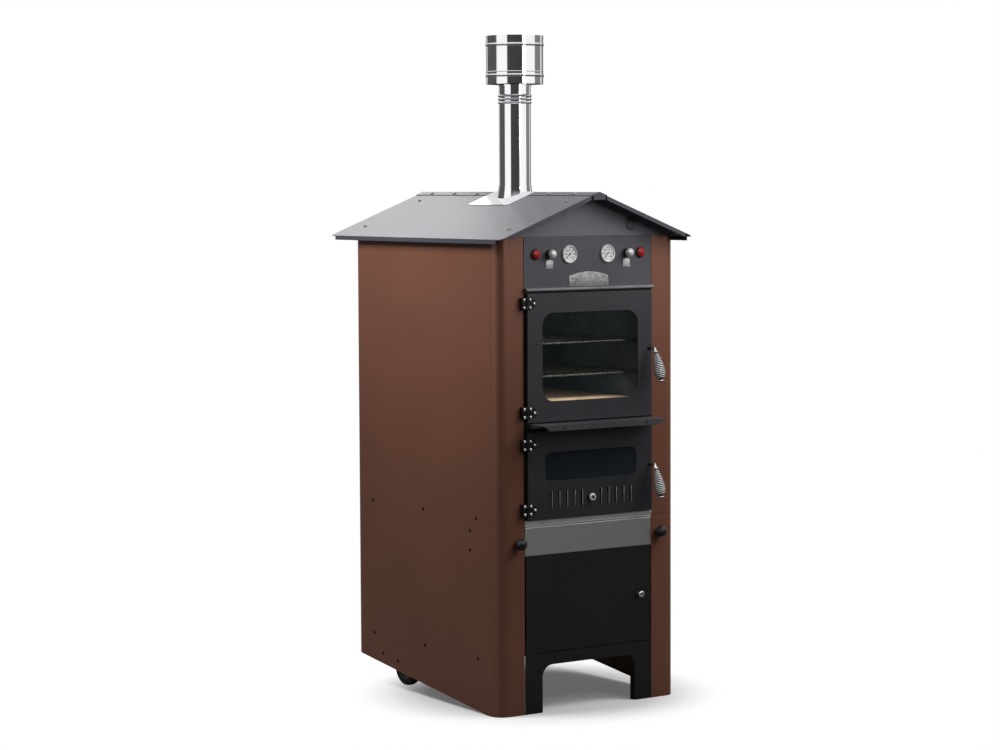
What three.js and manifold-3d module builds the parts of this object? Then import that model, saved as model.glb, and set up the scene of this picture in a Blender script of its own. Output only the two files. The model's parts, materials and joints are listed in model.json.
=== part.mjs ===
// Outdoor wood-fired oven on a wheeled cart, in millimetres, +Z up.
// X runs to the right seen from the front, Y runs to the back, and the front faces -Y.
// Everything is drawn from the front plane of the casing (y = 0), the middle (x = 0) and the floor (z = 0).
// The last lines bring the origin under the middle of the whole oven.
import * as THREE from 'three';
import { mergeVertices } from 'three/addons/utils/BufferGeometryUtils.js';
import Module from 'manifold-3d';

const wasm = await Module();
wasm.setup();

// Driving sizes of the casing
const bodyWidth = 700;
const bodyDepth = 845;
const seamHeight = 597;
const upperCasingHeight = 898;
const casingTop = seamHeight + upperCasingHeight;
const frontPostWidth = 102;
const rearFlangeWidth = 70;
const frontOpeningWidth = bodyWidth - 2 * frontPostWidth;
const rearOpeningWidth = bodyWidth - 2 * rearFlangeWidth;
const cornerRadius = 42;
const casingSheet = 2;
const bendRadius = 3;
const postReturn = 25;
const slantStart = 60;
const slantRise = 98;

// Clearances and one overrun for cuts
const fitGap = 0.3;
const runGap = 0.5;
const cutOver = 5;
const mergeTolerance = 0.00001;

// Sides of round pieces
const arcSteps = 6;
const bendSteps = 2;
const finestSides = 24;
const roundSides = 16;
const smallSides = 8;
const wireSides = 4;

// Shared sizes worked out from the driving sizes
const halfBody = bodyWidth / 2;
const halfOpening = frontOpeningWidth / 2;
const halfRearOpening = rearOpeningWidth / 2;
const sheetHalf = halfOpening - fitGap;

// Finishes
function finish(color, roughness, metalness) {
  return new THREE.MeshStandardMaterial({ color, roughness, metalness });
}
const brownPaint = finish(0x5c3f34, 0.45, 0.3);
const slatePaint = finish(0x4a4b50, 0.5, 0.4);
const panelPaint = finish(0x444348, 0.5, 0.4);
const blackPaint = finish(0x1c1c1e, 0.5, 0.3);
const mirrorSteel = finish(0xd9d9d9, 0.12, 1);
const satinSteel = finish(0x9a9a96, 0.35, 1);
const zincSteel = finish(0x8b8f92, 0.5, 0.8);
const chromePlate = finish(0xe6e6e6, 0.08, 1);
const castIron = finish(0x2b2a29, 0.8, 0.5);
const fireClay = finish(0xc8a882, 0.95, 0);
const doorGlass = finish(0x20262a, 0.05, 0);
const redLens = finish(0xa81712, 0.25, 0);
const dialWhite = finish(0xf2f2ee, 0.6, 0);
const blackPlastic = finish(0x161616, 0.4, 0);
const greyRubber = finish(0x2a2a2a, 0.85, 0);

// Solids: every shape becomes a closed solid with its faces pointing out
function signedVolume(position, index) {
  const a = new THREE.Vector3();
  const b = new THREE.Vector3();
  const c = new THREE.Vector3();
  let sum = 0;
  for (let i = 0; i < index.length; i += 3) {
    a.fromArray(position, index[i] * 3);
    b.fromArray(position, index[i + 1] * 3);
    c.fromArray(position, index[i + 2] * 3);
    sum += a.dot(b.cross(c));
  }
  return sum;
}

function solid(geometry) {
  const bare = geometry.clone();
  bare.deleteAttribute('normal');
  bare.deleteAttribute('uv');
  const merged = mergeVertices(bare, mergeTolerance);
  const vertProperties = new Float32Array(merged.attributes.position.array);
  const triVerts = new Uint32Array(merged.index.array);
  if (signedVolume(vertProperties, triVerts) < 0) {
    for (let i = 0; i < triVerts.length; i += 3) {
      const first = triVerts[i];
      triVerts[i] = triVerts[i + 1];
      triVerts[i + 1] = first;
    }
  }
  return new wasm.Manifold(new wasm.Mesh({ numProp: 3, vertProperties, triVerts }));
}

function join(first, ...others) {
  return others.reduce((sum, other) => sum.add(other), first);
}

function cut(first, ...others) {
  return others.reduce((rest, other) => rest.subtract(other), first);
}

function geometryOf(shape) {
  const mesh = shape.getMesh();
  const geometry = new THREE.BufferGeometry();
  geometry.setAttribute('position', new THREE.BufferAttribute(new Float32Array(mesh.vertProperties), 3));
  geometry.setIndex(new THREE.BufferAttribute(new Uint32Array(mesh.triVerts), 1));
  return geometry;
}

function part(group, name, shape, material) {
  const mesh = new THREE.Mesh(geometryOf(shape), material);
  mesh.name = name;
  group.add(mesh);
  return mesh;
}

// Mirror in the middle plane of the oven
function mirrored(shape) {
  return solid(geometryOf(shape).scale(-1, 1, 1));
}

// Boxes and outlines drawn along one axis
function block(xLow, xHigh, yLow, yHigh, zLow, zHigh) {
  const geometry = new THREE.BoxGeometry(xHigh - xLow, yHigh - yLow, zHigh - zLow);
  geometry.translate((xLow + xHigh) / 2, (yLow + yHigh) / 2, (zLow + zHigh) / 2);
  return solid(geometry);
}

function extruded(points, low, high, holes = []) {
  const shape = new THREE.Shape(points.map(([u, v]) => new THREE.Vector2(u, v)));
  for (const hole of holes) {
    shape.holes.push(new THREE.Path(hole.map(([u, v]) => new THREE.Vector2(u, v))));
  }
  const geometry = new THREE.ExtrudeGeometry(shape, { depth: high - low, bevelEnabled: false });
  return geometry.translate(0, 0, low);
}

// Outline in XY, drawn upwards
function alongZ(points, zLow, zHigh, holes) {
  return solid(extruded(points, zLow, zHigh, holes));
}

// Outline in XZ, drawn to the back
function alongY(points, yLow, yHigh, holes) {
  const geometry = extruded(points, -yHigh, -yLow, holes);
  return solid(geometry.rotateX(Math.PI / 2));
}

// Outline in YZ, drawn to the right
function alongX(points, xLow, xHigh, holes) {
  const turn = new THREE.Matrix4().makeBasis(
    new THREE.Vector3(0, 1, 0),
    new THREE.Vector3(0, 0, 1),
    new THREE.Vector3(1, 0, 0),
  );
  return solid(extruded(points, xLow, xHigh, holes).applyMatrix4(turn));
}

// A rounded rectangle as an outline
function roundedRectangle(uLow, uHigh, vLow, vHigh, radius, steps = arcSteps) {
  const points = [];
  const corners = [
    [uHigh - radius, vHigh - radius, 0],
    [uLow + radius, vHigh - radius, 1],
    [uLow + radius, vLow + radius, 2],
    [uHigh - radius, vLow + radius, 3],
  ];
  for (const [u, v, quarter] of corners) {
    for (let i = 0; i <= steps; i += 1) {
      const angle = (quarter + i / steps) * Math.PI / 2;
      points.push([u + radius * Math.cos(angle), v + radius * Math.sin(angle)]);
    }
  }
  return points;
}

// A bent sheet: a path of corners with fold radii, thickened to the left of the way it runs
function bentSheet(corners, thickness, steps = bendSteps) {
  const outer = [];
  const inner = [];
  const place = ({ x, y }, normal) => {
    outer.push([x, y]);
    inner.push([x + normal.x * thickness, y + normal.y * thickness]);
  };
  corners.forEach(({ x, y, radius = 0, arc = steps }, i) => {
    const here = new THREE.Vector2(x, y);
    const before = corners[i - 1];
    const after = corners[i + 1];
    const arriving = before && here.clone().sub(new THREE.Vector2(before.x, before.y)).normalize();
    const leaving = after && new THREE.Vector2(after.x, after.y).sub(here).normalize();
    if (!before || !after) {
      const way = leaving ?? arriving;
      place(here, new THREE.Vector2(-way.y, way.x));
      return;
    }
    const turn = Math.atan2(arriving.cross(leaving), arriving.dot(leaving));
    const side = Math.sign(turn);
    const reach = radius * Math.tan(Math.abs(turn) / 2);
    const start = here.clone().addScaledVector(arriving, -reach);
    const normal = new THREE.Vector2(-arriving.y, arriving.x);
    const centre = start.clone().addScaledVector(normal, side * radius);
    for (let step = 0; step <= arc; step += 1) {
      const swing = normal.clone().rotateAround(new THREE.Vector2(), turn * step / arc);
      const point = centre.clone().addScaledVector(swing, -side * radius);
      place(point, swing);
    }
  });
  return outer.concat(inner.reverse());
}

// A profile of radius and height turned about a vertical axis
function turned(profile, sides = roundSides) {
  const points = profile.map(([radius, height]) => new THREE.Vector2(radius, height));
  return new THREE.LatheGeometry(points, sides).rotateX(Math.PI / 2);
}

// The same profile about a level axis: its height runs to the front, towards -Y
function turnedForward(profile, x, z, sides = roundSides) {
  return solid(turned(profile, sides).rotateX(Math.PI / 2).translate(x, 0, z));
}

// A plain round bar between two heights, for pins and bores
function barZ(x, y, zLow, zHigh, radius, sides = roundSides) {
  const geometry = new THREE.CylinderGeometry(radius, radius, zHigh - zLow, sides);
  return solid(geometry.rotateX(Math.PI / 2).translate(x, y, (zLow + zHigh) / 2));
}

function barY(x, z, yLow, yHigh, radius, sides = roundSides) {
  const geometry = new THREE.CylinderGeometry(radius, radius, yHigh - yLow, sides);
  return solid(geometry.translate(x, (yLow + yHigh) / 2, z));
}

function barX(y, z, xLow, xHigh, radius, sides = roundSides) {
  const geometry = new THREE.CylinderGeometry(radius, radius, xHigh - xLow, sides);
  return solid(geometry.rotateZ(Math.PI / 2).translate((xLow + xHigh) / 2, y, z));
}

// A round bar or wire along a list of points, with flat ends
function sweptTube(points, radius, sides) {
  const ways = points.map((point, i) => {
    const before = points[Math.max(i - 1, 0)];
    const after = points[Math.min(i + 1, points.length - 1)];
    return after.clone().sub(before).normalize();
  });
  const across = new THREE.Vector3(1, 0, 0).cross(ways[0]);
  if (across.length() < Math.SQRT1_2) {
    across.set(0, 1, 0).cross(ways[0]);
  }
  across.normalize();
  const vertices = [];
  points.forEach((point, i) => {
    if (i > 0) {
      across.applyQuaternion(new THREE.Quaternion().setFromUnitVectors(ways[i - 1], ways[i]));
    }
    for (let side = 0; side < sides; side += 1) {
      const spoke = across.clone().applyAxisAngle(ways[i], side / sides * Math.PI * 2);
      vertices.push(...point.clone().addScaledVector(spoke, radius).toArray());
    }
  });
  const faces = [];
  for (let ring = 0; ring < points.length - 1; ring += 1) {
    for (let side = 0; side < sides; side += 1) {
      const next = (side + 1) % sides;
      const a = ring * sides + side;
      const b = ring * sides + next;
      faces.push(a, b, b + sides, a, b + sides, a + sides);
    }
  }
  const last = (points.length - 1) * sides;
  for (let side = 1; side < sides - 1; side += 1) {
    faces.push(0, side + 1, side, last, last + side, last + side + 1);
  }
  const geometry = new THREE.BufferGeometry();
  geometry.setAttribute('position', new THREE.Float32BufferAttribute(vertices, 3));
  geometry.setIndex(faces);
  return solid(geometry);
}

// The assembly groups
const oven = new THREE.Group();
const casing = new THREE.Group();
const roof = new THREE.Group();
const flue = new THREE.Group();
const controls = new THREE.Group();
const inside = new THREE.Group();
const doors = new THREE.Group();
const cart = new THREE.Group();
oven.add(casing, roof, flue, controls, inside, doors, cart);

// Brown side casings: one bent sheet a side, with rounded front and rear corners
const casingPath = [
  { x: halfOpening, y: postReturn },
  { x: halfOpening, y: 0, radius: bendRadius },
  { x: halfBody, y: 0, radius: cornerRadius, arc: arcSteps },
  { x: halfBody, y: bodyDepth, radius: cornerRadius, arc: arcSteps },
  { x: halfRearOpening, y: bodyDepth },
];
const casingOutline = bentSheet(casingPath, casingSheet);

// Pull-out lifting bars behind the front posts
const barRadius = 7;
const barInset = 26;
const barDrop = 55;
const barPlaceX = frontOpeningWidth / 2 + barInset;
const barPlaceZ = seamHeight - barDrop;
const barLength = 452;
const barBallRadius = 18.5;
const barStopRadius = 11;
const barStopLength = 12;
const barGuideY = 153;
const barGuideSheet = 3;
const barGuideHeight = 34;
const barGuideFootHeight = 68;
const barGuideFootDepth = 16;
const barGuideMargin = 9;

const upperRight = alongZ(casingOutline, seamHeight + fitGap, casingTop);
part(casing, 'upper_right_casing', upperRight, brownPaint);
part(casing, 'upper_left_casing', mirrored(upperRight), brownPaint);

const slantLength = bodyDepth - slantStart;
const slantSlope = slantRise / slantLength;
const slantCut = alongX(
  [
    [slantStart, 0],
    [slantStart - cutOver, -cutOver],
    [bodyDepth + cutOver, -cutOver],
    [bodyDepth + cutOver, slantRise + cutOver * slantSlope],
  ],
  halfRearOpening - cutOver,
  halfBody + cutOver,
);
const guideInner = barPlaceX - barRadius - barGuideMargin;
const guidePlate = join(
  block(
    guideInner, halfBody - casingSheet / 2, barGuideY, barGuideY + barGuideSheet,
    barPlaceZ - barGuideHeight / 2, barPlaceZ + barGuideHeight / 2,
  ),
  block(
    halfBody - casingSheet - barGuideSheet, halfBody - casingSheet / 2,
    barGuideY, barGuideY + barGuideFootDepth,
    barPlaceZ - barGuideFootHeight / 2, barPlaceZ + barGuideFootHeight / 2,
  ),
);
const barBore = barY(
  barPlaceX, barPlaceZ, -cutOver, barGuideY + barGuideSheet + cutOver, barRadius + runGap, roundSides,
);
const lowerRight = cut(
  join(alongZ(casingOutline, 0, seamHeight - fitGap), guidePlate),
  slantCut,
  barBore,
);
part(casing, 'lower_right_casing', lowerRight, brownPaint);
part(casing, 'lower_left_casing', mirrored(lowerRight), brownPaint);

// Back panels: flat sheets inside the rear flanges of the casings
const backSheet = 1.5;
const backFace = bodyDepth - casingSheet - fitGap;
const halfBack = halfBody - cornerRadius;
const lowerBackBottom = slantRise + fitGap;
part(
  casing,
  'upper_back_panel',
  block(-halfBack, halfBack, backFace - backSheet, backFace, seamHeight + fitGap, casingTop),
  zincSteel,
);
part(
  casing,
  'lower_back_panel',
  block(-halfBack, halfBack, backFace - backSheet, backFace, lowerBackBottom, seamHeight - fitGap),
  zincSteel,
);

// Roof: two sloped sheets with folded edges, and a gable wall under each end
const ridgeRise = 137.5;
const roofFall = 143.2;
const eaveOverhang = 22.5;
const frontOverhang = 59;
const rearOverhang = 107;
const ridgeHeight = casingTop + ridgeRise;
const eaveHeight = ridgeHeight - roofFall;
const roofWidth = bodyWidth + 2 * eaveOverhang;
const roofFront = -frontOverhang;
const roofBack = bodyDepth + rearOverhang;
const roofSheet = 2;
const roofLip = 14;
const roofCornerRadius = 16;
const lipRelief = 30;
const halfRoof = roofWidth / 2;
const roofSlope = (ridgeHeight - eaveHeight) / halfRoof;
const roofAngle = Math.atan(roofSlope);
const roofUpright = roofSheet / Math.cos(roofAngle);
const roofTopAt = (x) => ridgeHeight - roofSlope * Math.abs(x);
const roofUnderAt = (x) => roofTopAt(x) - roofUpright;

// The flue stands on the ridge
const flueY = 402;
const flueRadius = 52;
const flueSheet = 1.5;
const flueHoleMargin = 5;
const flueHoleRadius = flueRadius + flueHoleMargin;
const flueHole = barZ(0, flueY, casingTop, ridgeHeight + cutOver, flueHoleRadius, finestSides);

const slopeSheet = alongY(
  [
    [fitGap / 2, roofTopAt(fitGap / 2)],
    [fitGap / 2, roofUnderAt(fitGap / 2)],
    [halfRoof, roofUnderAt(halfRoof)],
    [halfRoof, roofTopAt(halfRoof)],
  ],
  roofFront,
  roofBack,
);
const roofPlan = alongZ(
  roundedRectangle(-halfRoof, halfRoof, roofFront, roofBack, roofCornerRadius, bendSteps * 2),
  eaveHeight - roofLip - cutOver,
  ridgeHeight + cutOver,
);
const eaveLip = block(
  halfRoof - roofSheet, halfRoof, roofFront + lipRelief, roofBack - lipRelief,
  eaveHeight - roofLip, roofUnderAt(halfRoof) + roofUpright / 2,
);
const capHalf = 30;
function endLip(yLow) {
  const high = (x) => roofUnderAt(x) + roofUpright / 2;
  const low = (x) => roofTopAt(x) - roofLip;
  const near = capHalf;
  const far = halfRoof - lipRelief;
  return alongY([[near, high(near)], [near, low(near)], [far, low(far)], [far, high(far)]], yLow, yLow + roofSheet);
}
const rightSlope = cut(
  join(slopeSheet.intersect(roofPlan), eaveLip, endLip(roofFront), endLip(roofBack - roofSheet)),
  flueHole,
);
part(roof, 'roof_right_panel', rightSlope, slatePaint);
part(roof, 'roof_left_panel', mirrored(rightSlope), slatePaint);

// Gable walls: the same folded panel twice, with its flanges under the roof sheets
const gableSheet = 2;
const gableFlange = 32;
const gableInset = 5;
const gableHalf = halfBody - gableInset;
const gableTopAt = (x) => roofUnderAt(x) - fitGap;
const gableUpright = gableSheet / Math.cos(roofAngle);
const gableBottom = casingTop + fitGap;
function gable(yFace) {
  const wall = alongY(
    [
      [-gableHalf, gableBottom],
      [gableHalf, gableBottom],
      [gableHalf, gableTopAt(gableHalf)],
      [0, gableTopAt(0)],
      [-gableHalf, gableTopAt(gableHalf)],
    ],
    yFace,
    yFace + gableSheet,
  );
  const flangeEnd = gableHalf - gableFlange;
  const flange = alongY(
    [
      [0, gableTopAt(0)],
      [-flangeEnd, gableTopAt(flangeEnd)],
      [-flangeEnd, gableTopAt(flangeEnd) - gableUpright],
      [0, gableTopAt(0) - gableUpright],
      [flangeEnd, gableTopAt(flangeEnd) - gableUpright],
      [flangeEnd, gableTopAt(flangeEnd)],
    ],
    yFace,
    yFace + gableFlange,
  );
  return join(wall, flange);
}
part(roof, 'front_gable', gable(0), slatePaint);
part(roof, 'rear_gable', gable(bodyDepth + fitGap), slatePaint);

// Ridge caps: a rounded angle over the joint of the slopes, in front of and behind the flue
const capSheet = 1.5;
const capReach = 4;
const capNose = 24;
const flashingHalfWidth = 108;
const flashingHalfDepth = 115;
const capUpright = capSheet / Math.cos(roofAngle);
const capUnderAt = (x) => roofTopAt(x) + fitGap;
function ridgeCap(yLow, yHigh) {
  return alongY(
    [
      [-capHalf, capUnderAt(capHalf)],
      [0, capUnderAt(0)],
      [capHalf, capUnderAt(capHalf)],
      [capHalf, capUnderAt(capHalf) + capUpright],
      [capReach, capUnderAt(capReach) + capUpright],
      [-capReach, capUnderAt(capReach) + capUpright],
      [-capHalf, capUnderAt(capHalf) + capUpright],
    ],
    yLow,
    yHigh,
  );
}
function capEnd(yLow, yHigh) {
  return alongY(
    [
      [-capNose, capUnderAt(0) - capNose],
      [capNose, capUnderAt(0) - capNose],
      [capNose, capUnderAt(capNose) + capUpright / 2],
      [0, capUnderAt(0) + capUpright / 2],
      [-capNose, capUnderAt(capNose) + capUpright / 2],
    ],
    yLow,
    yHigh,
  );
}
const capFront = roofFront - fitGap - capSheet;
const capBack = roofBack + fitGap + capSheet;
const frontCap = join(
  ridgeCap(capFront, flueY - flashingHalfDepth - fitGap),
  capEnd(capFront, capFront + capSheet),
);
const rearCap = join(
  ridgeCap(flueY + flashingHalfDepth + fitGap, capBack),
  capEnd(capBack - capSheet, capBack),
);
part(roof, 'front_ridge_cap', frontCap, slatePaint);
part(roof, 'rear_ridge_cap', rearCap, slatePaint);

// Flashing: a stainless saddle over the ridge with a short cone and lip round the pipe
const flashingSheet = 1.5;
const flashingConeFoot = 60;
const flashingConeHeight = 20;
const flashingLip = 8;
const flashingUpright = flashingSheet / Math.cos(roofAngle);
const flashingUnderAt = (x) => roofTopAt(x) + fitGap;
const saddle = alongY(
  [
    [-flashingHalfWidth, flashingUnderAt(flashingHalfWidth)],
    [0, flashingUnderAt(0)],
    [flashingHalfWidth, flashingUnderAt(flashingHalfWidth)],
    [flashingHalfWidth, flashingUnderAt(flashingHalfWidth) + flashingUpright],
    [0, flashingUnderAt(0) + flashingUpright],
    [-flashingHalfWidth, flashingUnderAt(flashingHalfWidth) + flashingUpright],
  ],
  flueY - flashingHalfDepth,
  flueY + flashingHalfDepth,
);
const coneFootHeight = flashingUnderAt(flashingConeFoot);
const coneTop = ridgeHeight + flashingConeHeight;
const collarRadius = flueRadius + runGap + flashingSheet;
const cone = solid(turned(
  [
    [0, coneFootHeight],
    [flashingConeFoot, coneFootHeight],
    [collarRadius, coneTop - flashingLip],
    [collarRadius, coneTop],
    [0, coneTop],
  ],
  finestSides,
).translate(0, flueY, 0));
const underRoof = alongY(
  [
    [-halfRoof, flashingUnderAt(halfRoof)],
    [0, flashingUnderAt(0)],
    [halfRoof, flashingUnderAt(halfRoof)],
    [halfRoof, eaveHeight - cutOver],
    [-halfRoof, eaveHeight - cutOver],
  ],
  roofFront,
  roofBack,
);
const hollowCone = solid(turned(
  [
    [0, coneFootHeight - flashingSheet],
    [flashingConeFoot - flashingSheet, coneFootHeight - flashingSheet],
    [flueRadius + runGap, coneTop - flashingLip - flashingSheet],
    [flueRadius + runGap, coneTop + cutOver],
    [0, coneTop + cutOver],
  ],
  finestSides,
).translate(0, flueY, 0));
part(flue, 'flue_flashing', cut(join(saddle, cone), underRoof, hollowCone), mirrorSteel);

// Flue pipe: a thin tube with a beaded joint, open at both ends
const flueSink = 143;
const flueLength = 694;
const jointDrop = 129;
const jointSpan = 32;
const flueBottom = casingTop - flueSink;
const flueTop = flueBottom + flueLength;
const jointLow = flueTop - jointDrop;
const jointHigh = jointLow + jointSpan;
const beadRise = 3.5;
const beadHeight = 18;
const smallBead = 6;
const flueInner = flueRadius - flueSheet;
const pipeProfile = [
  [flueInner, flueBottom],
  [flueRadius, flueBottom],
  [flueRadius, jointLow],
  [flueRadius + beadRise, jointLow + beadHeight / 3],
  [flueRadius + beadRise, jointLow + beadHeight * 2 / 3],
  [flueRadius, jointLow + beadHeight],
  [flueRadius, jointHigh - smallBead],
  [flueRadius + beadRise, jointHigh - smallBead / 2],
  [flueRadius, jointHigh],
  [flueRadius, flueTop],
  [flueInner, flueTop],
  [flueInner, flueBottom],
];
const pipe = solid(turned(pipeProfile, finestSides).translate(0, flueY, 0));
part(flue, 'flue_pipe', pipe, mirrorSteel);

// Cowl: a beaded sleeve round the pipe's mouth, with a rain disc carried by three fins
const cowlRadius = 93;
const cowlSheet = 2;
const cowlOverlap = 64;
const cowlHeight = 156;
const cowlBottom = flueTop - cowlOverlap;
const cowlTop = cowlBottom + cowlHeight;
const cowlBead = 2.5;
const lowBeadRise = 26;
const seamRise = 20;
const highBeadDrop = 24;
const cowlLowBead = cowlBottom + lowBeadRise;
const cowlSeam = cowlLowBead + seamRise;
const cowlSeamHeight = 2;
const cowlHighBead = cowlTop - highBeadDrop;
const cowlBeadHeight = 9;
const cowlBand = 1.5;
const cowlDiscMargin = 21;
const cowlDiscDrop = 42;
const cowlCollarDrop = 6;
const cowlCollarHeight = 38;
const cowlDiscRadius = cowlRadius - cowlDiscMargin;
const cowlDiscHeight = cowlTop - cowlDiscDrop;
const cowlCollarLow = cowlBottom - cowlCollarDrop;
const cowlCollarHigh = cowlCollarLow + cowlCollarHeight;
const cowlFinCount = 3;
const sleeveProfile = [
  [cowlRadius - cowlSheet, cowlBottom],
  [cowlRadius, cowlBottom],
  [cowlRadius, cowlLowBead - cowlBeadHeight / 2],
  [cowlRadius + cowlBead, cowlLowBead],
  [cowlRadius, cowlLowBead + cowlBeadHeight / 2],
  [cowlRadius, cowlSeam - cowlSeamHeight],
  [cowlRadius + cowlBand / 2, cowlSeam],
  [cowlRadius, cowlSeam + cowlSeamHeight],
  [cowlRadius, cowlHighBead - cowlBeadHeight / 2],
  [cowlRadius + cowlBead, cowlHighBead],
  [cowlRadius + cowlBand, cowlHighBead + cowlBeadHeight / 2],
  [cowlRadius + cowlBand, cowlTop],
  [cowlRadius - cowlSheet, cowlTop],
  [cowlRadius - cowlSheet, cowlBottom],
];
const collarInner = flueRadius + runGap;
const collarProfile = [
  [collarInner, cowlCollarLow],
  [collarInner + cowlSheet, cowlCollarLow],
  [collarInner + cowlSheet, cowlCollarHigh],
  [collarInner, cowlCollarHigh],
  [collarInner, cowlCollarLow],
];
const discProfile = [
  [0, cowlDiscHeight],
  [cowlDiscRadius, cowlDiscHeight],
  [cowlDiscRadius, cowlDiscHeight + cowlSheet],
  [0, cowlDiscHeight + cowlSheet],
];
const finOutline = [
  [collarInner + cowlSheet / 2, cowlBottom + cowlSheet],
  [cowlRadius - cowlSheet / 2, cowlBottom + cowlSheet],
  [cowlRadius - cowlSheet / 2, cowlDiscHeight + cowlSheet],
  [collarInner + cowlSheet, cowlDiscHeight + cowlSheet],
  [collarInner + cowlSheet, cowlCollarHigh - cowlSheet],
  [collarInner + cowlSheet / 2, cowlCollarHigh - cowlSheet],
];
const fins = Array.from({ length: cowlFinCount }, (_, i) => {
  const turn = (i / cowlFinCount) * Math.PI * 2 + Math.PI / 2;
  const geometry = extruded(finOutline, -cowlSheet / 2, cowlSheet / 2).rotateX(Math.PI / 2);
  return solid(geometry.rotateZ(turn));
});
const cowlShape = join(
  solid(turned(sleeveProfile, finestSides)),
  solid(turned(collarProfile, finestSides)),
  solid(turned(discProfile, roundSides)),
  ...fins,
).translate([0, flueY, 0]);
part(flue, 'flue_cowl', cowlShape, mirrorSteel);

// Control panel: a flat sheet with a rounded ledge along its foot
const panelSheet = 2;
const ledgeHeight = 11;
const panelHeight = 170;
const ledgeBottom = casingTop - panelHeight;
const ledgeReach = 17;
const controlDrop = 54;
const gaugeDrop = 56;
const controlHeight = casingTop - controlDrop;
const gaugeHeight = casingTop - gaugeDrop;
const gaugePlaceShare = 0.3;
const knobPlaceShare = 0.608;
const pilotPlaceShare = 0.824;
const gaugePlaceX = sheetHalf * gaugePlaceShare;
const knobPlaceX = sheetHalf * knobPlaceShare;
const pilotPlaceX = sheetHalf * pilotPlaceShare;
const gaugeBodyRadius = 24;
const knobShaftRadius = 3.5;
const pilotBodyRadius = 12;
const ledgeRadius = ledgeHeight / 2;
const ledgeArc = Array.from({ length: arcSteps + 1 }, (_, i) => {
  const angle = (0.5 + i / arcSteps) * Math.PI;
  return [
    -ledgeReach + ledgeRadius + ledgeRadius * Math.cos(angle),
    ledgeBottom + ledgeRadius + ledgeRadius * Math.sin(angle),
  ];
});
const panelProfile = [
  [panelSheet, ledgeBottom],
  [panelSheet, casingTop],
  [0, casingTop],
  [0, ledgeBottom + ledgeHeight],
  ...ledgeArc,
];
const panelHoles = [-1, 1].flatMap((side) => [
  barY(side * gaugePlaceX, gaugeHeight, -cutOver, panelSheet + cutOver, gaugeBodyRadius + fitGap),
  barY(side * knobPlaceX, controlHeight, -cutOver, panelSheet + cutOver, knobShaftRadius + runGap, smallSides),
  barY(side * pilotPlaceX, controlHeight, -cutOver, panelSheet + cutOver, pilotBodyRadius + fitGap),
]);
part(controls, 'control_panel', cut(alongX(panelProfile, -sheetHalf, sheetHalf), ...panelHoles), panelPaint);

// Gauges: a can through the panel, a bezel in front, and a needle on its spindle
const gaugeBezelRadius = 28;
const gaugeBezelDepth = 6;
const gaugeCanDepth = 30;
const gaugeFaceRadius = 24;
const gaugeFaceDepth = 3.5;
const gaugeRim = 1.5;
const spindleRadius = 1.2;
const spindleReach = 1.8;
const needleLength = 19;
const needleTail = 7;
const needleHub = 3.2;
const needleTip = 0.7;
const needleSheet = 0.8;
const gaugeFront = fitGap + gaugeBezelDepth;
const gaugeFace = gaugeFront - gaugeFaceDepth;
const gaugeProfile = [
  [0, -gaugeCanDepth],
  [gaugeBodyRadius, -gaugeCanDepth],
  [gaugeBodyRadius, fitGap],
  [gaugeBezelRadius, fitGap],
  [gaugeBezelRadius, gaugeFront - gaugeRim],
  [gaugeBezelRadius - gaugeRim, gaugeFront],
  [gaugeFaceRadius, gaugeFront],
  [gaugeFaceRadius, gaugeFace],
  [spindleRadius, gaugeFace],
  [spindleRadius, gaugeFace + spindleReach],
  [0, gaugeFace + spindleReach],
];
// Needles point up to the left at rest, as a cold gauge does
const needleRestAngle = THREE.MathUtils.degToRad(135);
function needleShape() {
  const hub = turnedForward([[0, 0], [needleHub, 0], [needleHub, needleSheet], [0, needleSheet]], 0, 0, smallSides);
  const pointer = alongY(
    [
      [-needleTip * 2, -needleTail],
      [needleTip * 2, -needleTail],
      [needleTip, needleLength],
      [-needleTip, needleLength],
    ],
    -needleSheet,
    0,
  );
  const bore = barY(0, 0, -needleSheet - cutOver, cutOver, spindleRadius + fitGap, smallSides);
  return cut(join(hub, pointer), bore);
}
for (const [side, hand] of [[-1, 'left'], [1, 'right']]) {
  const gauge = turnedForward(gaugeProfile, side * gaugePlaceX, gaugeHeight);
  part(controls, `${hand}_gauge`, gauge, dialWhite);
  const needle = part(controls, `${hand}_gauge_needle`, needleShape(), blackPlastic);
  needle.position.set(side * gaugePlaceX, -gaugeFace - fitGap, gaugeHeight);
  needle.rotation.y = -needleRestAngle;
}

// Turning knobs: a black skirt with a domed cap, on a shaft through the panel
const knobRadius = 13.5;
const knobSkirt = 19;
const knobDome = 9;
const knobShaftDepth = 14;
const knobGrip = 1.2;
const knobDomePoints = Array.from({ length: arcSteps }, (_, i) => {
  const angle = (i / arcSteps) * Math.PI / 2;
  return [(knobRadius - knobGrip) * Math.cos(angle), runGap + knobSkirt + knobDome * Math.sin(angle)];
});
const knobProfile = [
  [0, -knobShaftDepth],
  [knobShaftRadius, -knobShaftDepth],
  [knobShaftRadius, runGap],
  [knobRadius, runGap],
  [knobRadius - knobGrip, runGap + knobSkirt],
  ...knobDomePoints.slice(1),
  [0, runGap + knobSkirt + knobDome],
];
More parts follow.
